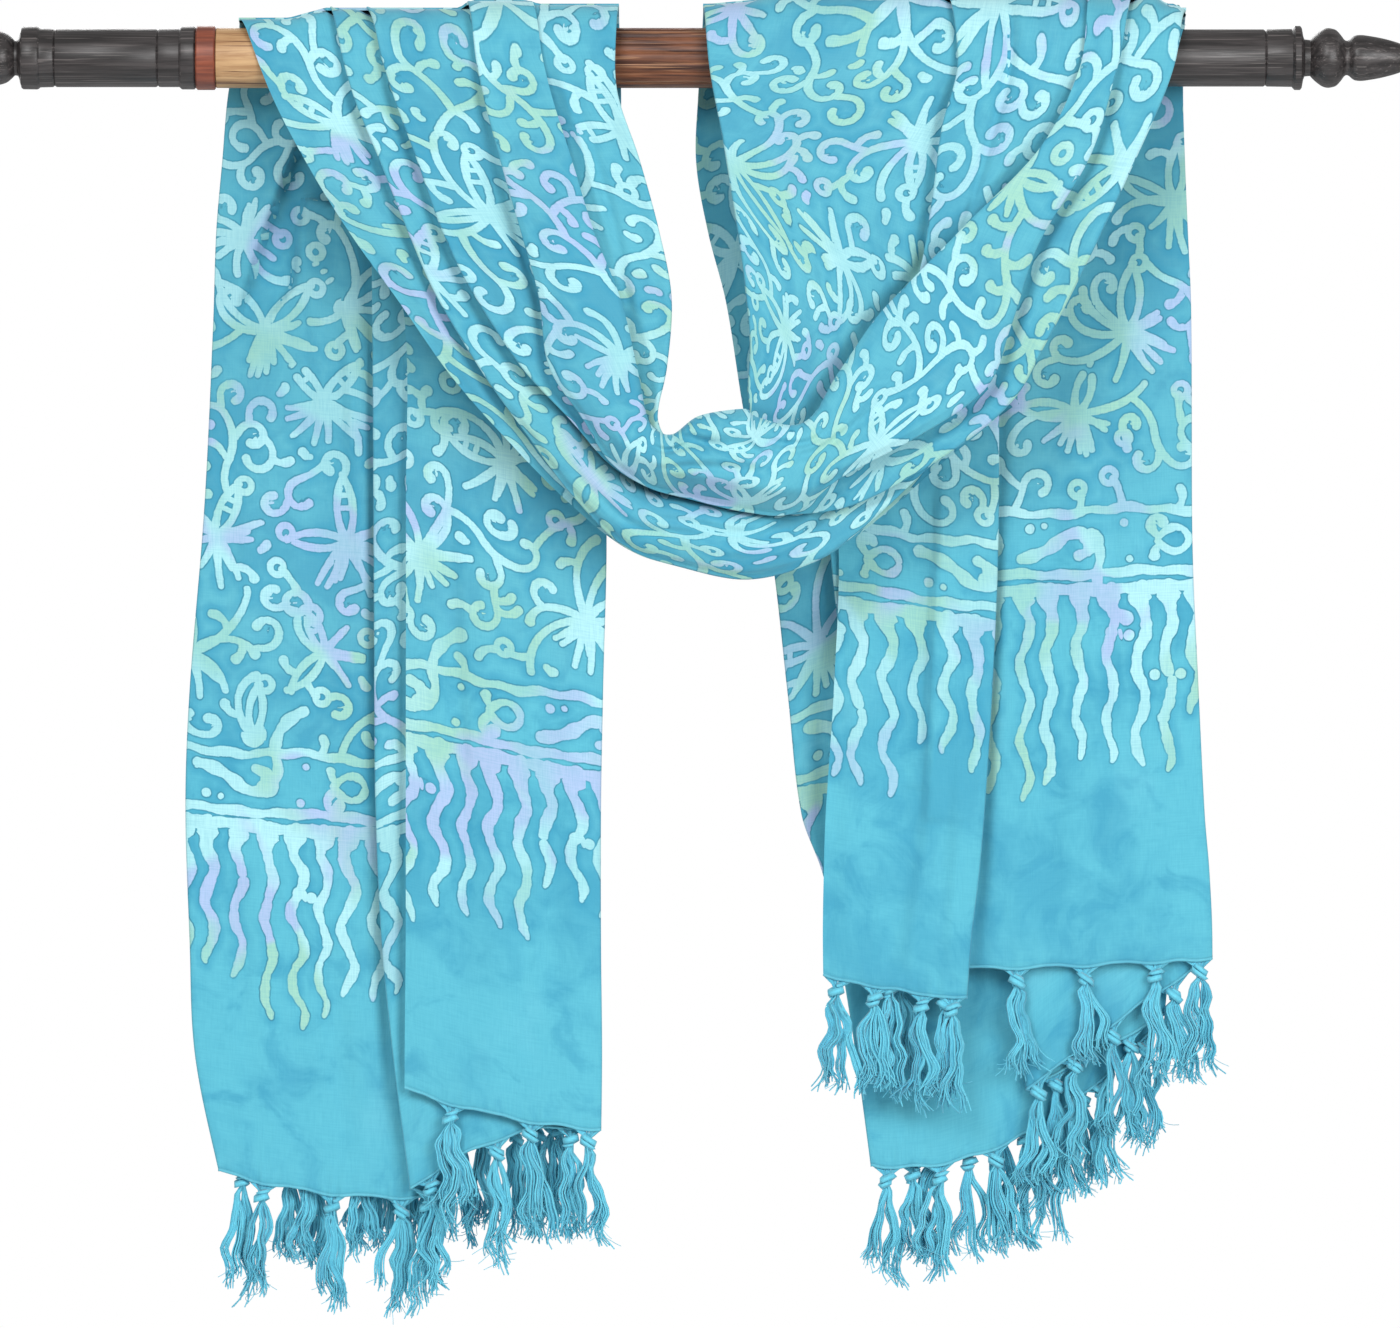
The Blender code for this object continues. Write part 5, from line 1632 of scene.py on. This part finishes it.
def line_distance(tree, place, suffix):
    """Distance from place to the edge of one of the face's two wax lines, below 0 inside it."""
    line = add_node(tree, "ShaderNodeAttribute", attribute_name="line_" + suffix).outputs["Vector"]
    ring = add_node(tree, "ShaderNodeAttribute", attribute_name="ring_" + suffix).outputs["Fac"]
    middle = vector_maths(tree, "MULTIPLY", line, (1.0, 1.0, 0.0))
    reach = vector_maths(tree, "DISTANCE", place, middle, "Value")
    off_ring = maths(tree, "ABSOLUTE", maths(tree, "SUBTRACT", reach, ring), 0.0)
    half_width = add_node(tree, "ShaderNodeSeparateXYZ", {"Vector": line}).outputs["Z"]
    return maths(tree, "SUBTRACT", off_ring, half_width)


def batik_material(cloth):
    """Wax lines, dyed ground, patches of tint and a darker rim, laid out by the cloth's own map, with painted
    shade that darkens the falls towards their top.
    """
    material, tree, shader = new_material("batik_rayon")
    uv = add_node(tree, "ShaderNodeUVMap", uv_map="cloth").outputs["UV"]
    hem = add_node(tree, "ShaderNodeAttribute", attribute_name="hem").outputs["Fac"]
    blotch = noise_of(tree, uv, 11.0, 4.0, 0.55, 0.6)
    wash = noise_of(tree, uv, 38.0, 5.0, 0.6, 0.8)
    drift = maths(tree, "ADD", maths(tree, "MULTIPLY", blotch, 0.62), maths(tree, "MULTIPLY", wash, 0.38))
    height = add_node(tree, "ShaderNodeSeparateXYZ", {"Vector": uv}).outputs["Y"]
    border_middle = BORDER_TOP * MM / 2
    off_border = maths(tree, "ABSOLUTE", maths(tree, "SUBTRACT", height, border_middle), 0.0)
    above_border = ramp(tree, off_border, border_middle - 0.03, border_middle + 0.05)
    blotchy = maths(tree, "ADD", maths(tree, "MULTIPLY", above_border, 0.4), 0.6)
    in_blotch = maths(tree, "MULTIPLY", ramp(tree, drift, 0.43, 0.62), blotchy)
    ground = mixed(tree, in_blotch, cloth.ground_colour, cloth.deep_colour)
    ground = mixed(tree, ramp(tree, wash, 0.52, 0.68, 0.0, 0.4), ground, cloth.deep_colour)
    pale = noise_of(tree, stretched(tree, uv, (1.0, 0.6, 1.0), (3.1, 1.7, 0.0)), 16.0, 4.0)
    ground = mixed(tree, ramp(tree, pale, 0.55, 0.75, 0.0, 0.35), ground, cloth.light_colour)
    in_print = maths(tree, "ADD", maths(tree, "MULTIPLY", above_border, 0.37), 0.1)
    ground = mixed(tree, in_print, ground, cloth.printed_colour)
    tint = noise_of(tree, stretched(tree, uv, (1.0, 0.8, 1.0), (7.3, 2.2, 0.0)), 12.0, 2.0, 0.5, 0.5)
    lilac = noise_of(tree, stretched(tree, uv, (1.0, 0.9, 1.0), (1.9, 8.4, 0.0)), 15.0, 2.0, 0.5, 0.5)
    lines = mixed(tree, ramp(tree, tint, 0.47, 0.60, 0.0, 0.9), cloth.wax_colour, cloth.green_colour)
    lines = mixed(tree, ramp(tree, lilac, 0.53, 0.64, 0.0, 0.9), lines, cloth.lilac_colour)
    dulled = noise_of(tree, stretched(tree, uv, (1.0, 0.9, 1.0), (5.6, 0.7, 0.0)), 9.0, 3.0, 0.55, 0.4)
    lines = mixed(tree, ramp(tree, dulled, 0.44, 0.62, 0.0, 0.5), lines, cloth.dulled_colour)
    lift = (0.0, CANVAS_PERIOD / 2, 0.0)
    place = vector_maths(tree, "ADD", uv, lift)
    place = vector_maths(tree, "MODULO", place, (CANVAS_STRIDE, CANVAS_PERIOD, CANVAS_PERIOD))
    place = vector_maths(tree, "SUBTRACT", place, lift)
    distance = maths(tree, "MINIMUM", line_distance(tree, place, "a"), line_distance(tree, place, "b"))
    wander = maths(tree, "MULTIPLY", maths(tree, "SUBTRACT", noise_of(tree, uv, 380.0, 2.0), 0.5), 0.9)
    edge = maths(tree, "ADD", maths(tree, "MULTIPLY", distance, 1.0 / MM), wander)
    in_wax = ramp(tree, edge, 0.22, -0.22)
    patchy = ramp(tree, noise_of(tree, uv, 24.0, 3.0), 0.42, 0.62, 0.0, 0.62)
    pooled = maths(tree, "MULTIPLY", ramp(tree, edge, 6.0, 0.4), patchy)
    patchy = ramp(tree, noise_of(tree, uv, 60.0, 3.0), 0.35, 0.65, 0.3, 0.9)
    rim = maths(tree, "MULTIPLY", ramp(tree, edge, 1.1, 0.4), patchy)
    colour = mixed(tree, pooled, ground, cloth.deep_colour)
    colour = mixed(tree, rim, colour, cloth.rim_and_top_shade_colour)
    colour = mixed(tree, in_wax, colour, lines)
    # Painted shade: the falls grow darker towards their top, wax lines too. This is partly deeper dye and
    # partly painted shade from the swag and rod above. On the swag and crests the height is below 0, so
    # nothing changes there.
    colour = mixed(tree, ramp(tree, height, 0.32, 0.52, 0.0, 0.24), colour, cloth.rim_and_top_shade_colour)
    yarn = noise_of(tree, stretched(tree, uv, (70.0, 1400.0, 1.0)), 1.0, 2.0)
    cross = noise_of(tree, stretched(tree, uv, (1400.0, 90.0, 1.0)), 1.0, 2.0)
    slub = maths(tree, "ADD", yarn, cross)
    colour = mixed(tree, ramp(tree, slub, 0.7, 1.35, 0.0, 0.24), colour, cloth.deep_colour)
    colour = mixed(tree, maths(tree, "MULTIPLY", hem, 0.35), colour, cloth.light_colour)
    tree.links.new(colour, shader.inputs["Base Color"])
    weave = add_node(tree, "ShaderNodeBump", {"Height": slub, "Strength": 0.22, "Distance": 0.0002})
    tree.links.new(weave.outputs["Normal"], shader.inputs["Normal"])
    shader.inputs["Roughness"].default_value = 0.78
    shader.inputs["Specular IOR Level"].default_value = 0.3
    shader.inputs["Sheen Weight"].default_value = 0.18
    shader.inputs["Sheen Roughness"].default_value = 0.45
    return material


def yarn_material(cloth):
    """Loose dyed yarn, a little uneven from thread to thread."""
    material, tree, shader = new_material("fringe_yarn_dyed")
    tone = add_node(tree, "ShaderNodeAttribute", attribute_name="tone").outputs["Fac"]
    place = add_node(tree, "ShaderNodeTexCoord").outputs["Object"]
    twist = noise_of(tree, stretched(tree, place, (900.0, 900.0, 320.0)), 1.0, 2.0)
    patch = noise_of(tree, place, 60.0, 3.0)
    shade = maths(tree, "ADD", maths(tree, "MULTIPLY", tone, 0.55), maths(tree, "MULTIPLY", patch, 0.45))
    colour = mixed(tree, ramp(tree, shade, 0.1, 0.6, 0.25, 1.0), cloth.deep_colour, cloth.yarn_colour)
    colour = mixed(tree, ramp(tree, twist, 0.4, 0.7, 0.0, 0.2), colour, cloth.deep_colour)
    tree.links.new(colour, shader.inputs["Base Color"])
    relief = add_node(tree, "ShaderNodeBump", {"Height": twist, "Strength": 0.4, "Distance": 0.0003})
    tree.links.new(relief.outputs["Normal"], shader.inputs["Normal"])
    shader.inputs["Roughness"].default_value = 0.85
    shader.inputs["Specular IOR Level"].default_value = 0.25
    shader.inputs["Sheen Weight"].default_value = 0.2
    return material


def wood_material(name, light, dark, line_colour, line_strength, roughness, coat):
    """Turned wood with the grain along the rod."""
    material, tree, shader = new_material(name)
    place = add_node(tree, "ShaderNodeTexCoord").outputs["Object"]
    grain = noise_of(tree, stretched(tree, place, (14.0, 260.0, 260.0)), 1.0, 5.0, 0.62, 0.4)
    fibre = noise_of(tree, stretched(tree, place, (60.0, 1500.0, 1500.0)), 1.0, 3.0, 0.6)
    cloud = noise_of(tree, stretched(tree, place, (1.0, 2.0, 2.0)), 26.0, 3.0)
    colour = mixed(tree, ramp(tree, grain, 0.36, 0.64), dark, light)
    colour = mixed(tree, ramp(tree, cloud, 0.4, 0.7, 0.0, 0.45), colour, dark)
    crack = noise_of(tree, stretched(tree, place, (9.0, 700.0, 700.0)), 1.0, 2.0, 0.5, 1.5)
    colour = mixed(tree, ramp(tree, crack, 0.60, 0.66, 0.0, line_strength), colour, line_colour)
    tree.links.new(colour, shader.inputs["Base Color"])
    height = maths(tree, "ADD", maths(tree, "MULTIPLY", grain, 0.7), maths(tree, "MULTIPLY", fibre, 0.3))
    relief = add_node(tree, "ShaderNodeBump", {"Height": height, "Strength": 0.35, "Distance": 0.0006})
    tree.links.new(relief.outputs["Normal"], shader.inputs["Normal"])
    rough = ramp(tree, fibre, 0.3, 0.7, roughness - 0.08, roughness + 0.1)
    tree.links.new(rough, shader.inputs["Roughness"])
    shader.inputs["Coat Weight"].default_value = coat
    shader.inputs["Coat Roughness"].default_value = 0.35
    return material


def plain_material(name, colour, roughness):
    material, _, shader = new_material(name)
    shader.inputs["Base Color"].default_value = (*colour, 1.0)
    shader.inputs["Roughness"].default_value = roughness
    return material


# ---- user settings ----


def colour_setting(name, description, default):
    return bpy.props.FloatVectorProperty(
        name=name, description=description, subtype="COLOR", default=default, min=0, max=1
    )


class SarongClothSettings(bpy.types.PropertyGroup):
    """Colours of the cloth and its fringe."""

    ground_colour: colour_setting("Ground", "Dyed ground of the cloth", (0.102, 0.475, 0.60))
    deep_colour: colour_setting("Deep Dye", "Darker blotches of the dye", (0.032, 0.285, 0.45))
    printed_colour: colour_setting("Printed Ground", "Duller ground above the border", (0.11, 0.40, 0.50))
    light_colour: colour_setting("Pale Dye", "Paler washes of the dye", (0.17, 0.56, 0.68))
    wax_colour: colour_setting("Wax Lines", "Lines that the wax kept pale", (0.43, 0.77, 0.81))
    green_colour: colour_setting("Green Tint", "Green patches on the lines", (0.32, 0.61, 0.48))
    lilac_colour: colour_setting("Lilac Tint", "Lilac patches on the lines", (0.40, 0.50, 0.77))
    dulled_colour: colour_setting("Dulled Lines", "Patches where dye crept under the wax", (0.25, 0.58, 0.62))
    # This colour is also the painted shade that darkens the falls towards their top.
    rim_and_top_shade_colour: colour_setting("Line Rim", "Darker rim round the lines", (0.030, 0.20, 0.29))
    yarn_colour: colour_setting("Fringe Yarn", "Yarn of the fringe", (0.15, 0.60, 0.76))
    print_seed: bpy.props.IntProperty(
        name="Print Seed", description="Start of the scattered parts of the print", default=41, min=0
    )


class SarongRodSettings(bpy.types.PropertyGroup):
    """Colours of the rod's woods."""

    handle_colour: colour_setting("Handles", "Stained wood of the handles", (0.050, 0.043, 0.043))
    shaft_colour: colour_setting("Shaft", "Oiled wood of the middle", (0.24, 0.085, 0.036))
    sleeve_colour: colour_setting("Sleeve", "Pale wood beside the left handle", (0.60, 0.38, 0.19))
    band_colour: colour_setting("Band", "Red band between handle and sleeve", (0.30, 0.075, 0.035))


class SarongStageSettings(bpy.types.PropertyGroup):
    """Camera and floor."""

    camera_distance: bpy.props.FloatProperty(
        name="Camera Distance", description="From the rod to the camera", default=6.0, unit="LENGTH", min=1.0
    )
    frame_width: bpy.props.FloatProperty(
        name="Frame Width", description="Width of the view at the rod", default=0.77, unit="LENGTH", min=0.1
    )
    room_light: bpy.props.FloatProperty(
        name="Room Light", description="Strength of the even light of the room", default=0.44, min=0.0
    )
    floor_drop: bpy.props.FloatProperty(
        name="Floor Drop", description="From the rod down to the floor", default=0.82, unit="LENGTH", min=0.1
    )


def settings():
    scene = bpy.context.scene
    return scene.sarong_cloth, scene.sarong_rod, scene.sarong_stage


def kept_material(name, make, *arguments):
    return bpy.data.materials.get(name) or make(*arguments)


FRINGE_NODES = {
    "left": [f"fringe_left_{n}" for n in range(1, 8)],
    "right": [f"fringe_right_{n}" for n in range(1, 9)],
}


def make_fall_pieces(fall, side):
    cloth = settings()[0]
    mesh, hem = make_fall_mesh(fall, cloth.print_seed + (100 if side == "left" else 200))
    mesh.materials.append(kept_material("batik_rayon", batik_material, cloth))
    sheet = link_object(mesh.name, mesh)
    yarn = kept_material("fringe_yarn_dyed", yarn_material, cloth)
    fringe = make_fringe(f"{side}_fringe", fall, hem, yarn)
    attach(sheet, "root")
    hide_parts(fall["name"])
    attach(fringe, "root")
    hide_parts(*FRINGE_NODES[side])


class SARONG_OT_make_rod(bpy.types.Operator):
    """Turn the rod's shaft, sleeve, band and handles"""

    bl_idname = "sarong.make_rod"
    bl_label = "Rod"

    def execute(self, context):
        rod = settings()[1]
        left = LEFT_HANDLE_TURNED[:-1] + rounded(LEFT_HANDLE_ROUND, 60)
        right = RIGHT_HANDLE_TURNED[:-1] + rounded(RIGHT_HANDLE_ROUND, 64)
        woods = {}
        for name, *looks in (
            # wood, light colour, dark grain, cracks, strength of the cracks, roughness, coat
            ("handle_wood", rod.handle_colour, (0.012, 0.010, 0.010), (0.17, 0.15, 0.145), 0.5, 0.42, 0.15),
            ("shaft_wood", rod.shaft_colour, (0.045, 0.012, 0.006), (0.50, 0.26, 0.12), 0.7, 0.5, 0.1),
            ("sleeve_wood", rod.sleeve_colour, (0.36, 0.19, 0.08), (0.11, 0.04, 0.015), 0.9, 0.5, 0.1),
            ("band_wood", rod.band_colour, (0.14, 0.03, 0.015), (0.06, 0.015, 0.01), 0.5, 0.45, 0.15),
        ):
            woods[name] = wood_material(name, *looks)
        for node, profile, wood, slot in (
            ("rod_shaft", SHAFT_TURNED, "shaft_wood", "red_wood"),
            ("rod_sleeve", SLEEVE_TURNED, "sleeve_wood", "pale_wood"),
            ("rod_band", BAND_TURNED, "band_wood", "band_wood"),
            ("rod_handle_left", left, "handle_wood", "dark_wood"),
            ("rod_handle_right", right, "handle_wood", "dark_wood"),
        ):
            name = node + "_turned"
            mesh = turned_mesh(name, profile, flute_depth if node == "rod_shaft" else None)
            mesh.materials.append(woods[wood])
            made = link_object(name, mesh)
            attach(made, "root")
            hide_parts(node)
        return {"FINISHED"}


class SARONG_OT_make_swag(bpy.types.Operator):
    """Gather the swag that hangs in front of the rod"""

    bl_idname = "sarong.make_swag"
    bl_label = "Swag"

    def execute(self, context):
        cloth = settings()[0]
        mesh = make_swag_mesh(cloth.print_seed)
        mesh.materials.append(kept_material("batik_rayon", batik_material, cloth))
        swag = link_object(mesh.name, mesh)
        crests = (("left_crest", SWAG_CRESTS[0], LEFT, 0.212), ("right_crest", SWAG_CRESTS[1], RIGHT, 0.268))
        for name, crest, fall, width in crests:
            over = make_crest_mesh(name, crest, fall, cloth.print_seed + 50)
            over.materials.append(kept_material("batik_rayon", batik_material, cloth))
            made = link_object("sarong_" + name, over)
            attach(made, "root")
        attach(swag, "root")
        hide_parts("swag")
        return {"FINISHED"}


class SARONG_OT_make_left_fall(bpy.types.Operator):
    """Hang the left fall and its fringe behind the rod"""

    bl_idname = "sarong.make_left_fall"
    bl_label = "Left Fall"

    def execute(self, context):
        make_fall_pieces(LEFT, "left")
        return {"FINISHED"}


class SARONG_OT_make_right_fall(bpy.types.Operator):
    """Hang the right fall and its fringe behind the rod"""

    bl_idname = "sarong.make_right_fall"
    bl_label = "Right Fall"

    def execute(self, context):
        make_fall_pieces(RIGHT, "right")
        return {"FINISHED"}


FLOOR_RADIUS, FLOOR_SIDES = 1.15, 96
CAMERA_HEIGHT = -0.3333  # metres from the rod's axis
LIGHTS_AIM = Vector((0.0, 0.0, -0.3))


def add_light(name, place, size, power):
    data = bpy.data.lights.new(name, "AREA")
    data.energy = power
    data.size = size
    light = bpy.data.objects.new(name, data)
    light.location = place
    light.rotation_euler = (LIGHTS_AIM - Vector(place)).to_track_quat("-Z", "Y").to_euler()
    bpy.context.scene.collection.objects.link(light)


class SARONG_OT_make_stage(bpy.types.Operator):
    """Set the floor, the lights and the camera"""

    bl_idname = "sarong.make_stage"
    bl_label = "Stage"

    def execute(self, context):
        stage = settings()[2]
        scene = bpy.context.scene
        mesh = bpy.data.meshes.new("floor")
        turns = [2 * math.pi * i / FLOOR_SIDES for i in range(FLOOR_SIDES)]
        rim = [(FLOOR_RADIUS * math.cos(t), FLOOR_RADIUS * math.sin(t), -stage.floor_drop) for t in turns]
        mesh.from_pydata(rim, [], [tuple(range(FLOOR_SIDES))])
        mesh.materials.append(plain_material("pale_floor", (0.86, 0.86, 0.86), 0.7))
        link_object("floor", mesh)
        world = bpy.data.worlds.new("studio")
        world.use_nodes = True
        background = world.node_tree.nodes["Background"]
        background.inputs["Color"].default_value = (1.0, 1.0, 1.0, 1.0)
        rays = add_node(world.node_tree, "ShaderNodeLightPath").outputs["Is Camera Ray"]
        strength = ramp(world.node_tree, rays, 0.0, 1.0, stage.room_light, 1.0)
        world.node_tree.links.new(strength, background.inputs["Strength"])
        scene.world = world
        add_light("key_light", (-1.1, -2.9, 1.4), 1.3, 54.0)
        add_light("fill_light", (1.5, -2.8, 0.35), 1.4, 56.0)
        add_light("back_light", (-0.6, 2.9, 0.8), 1.6, 40.0)
        lens = bpy.data.cameras.new("camera")
        lens.lens = lens.sensor_width * stage.camera_distance / stage.frame_width
        lens.clip_end = 100.0
        camera = bpy.data.objects.new("camera", lens)
        camera.location = (0.0, -stage.camera_distance, CAMERA_HEIGHT)
        camera.rotation_euler = (math.pi / 2, 0.0, 0.0)
        scene.collection.objects.link(camera)
        scene.camera = camera
        scene.view_settings.view_transform = "Standard"
        return {"FINISHED"}


STEPS = ("make_stage", "make_rod", "make_swag", "make_left_fall", "make_right_fall")


class SARONG_PT_panel(bpy.types.Panel):
    """Sizes, colours and steps of the draped sarong"""

    bl_label = "Draped Sarong"
    bl_idname = "SARONG_PT_panel"
    bl_space_type = "VIEW_3D"
    bl_region_type = "UI"
    bl_category = "Sarong"

    def draw(self, context):
        for group in settings():
            box = self.layout.box()
            for name in group.__annotations__:
                box.prop(group, name)
        for step in STEPS:
            self.layout.operator(f"sarong.{step}")


CLASSES = (
    SarongClothSettings,
    SarongRodSettings,
    SarongStageSettings,
    SARONG_OT_make_stage,
    SARONG_OT_make_rod,
    SARONG_OT_make_swag,
    SARONG_OT_make_left_fall,
    SARONG_OT_make_right_fall,
    SARONG_PT_panel,
)


def register():
    for made in CLASSES:
        bpy.utils.register_class(made)
    bpy.types.Scene.sarong_cloth = bpy.props.PointerProperty(type=SarongClothSettings)
    bpy.types.Scene.sarong_rod = bpy.props.PointerProperty(type=SarongRodSettings)
    bpy.types.Scene.sarong_stage = bpy.props.PointerProperty(type=SarongStageSettings)


def unregister():
    del bpy.types.Scene.sarong_stage
    del bpy.types.Scene.sarong_rod
    del bpy.types.Scene.sarong_cloth
    for made in reversed(CLASSES):
        bpy.utils.unregister_class(made)


def main():
    register()
    for step in STEPS:
        getattr(bpy.ops.sarong, step)()
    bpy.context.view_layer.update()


if __name__ == "__main__":
    main()
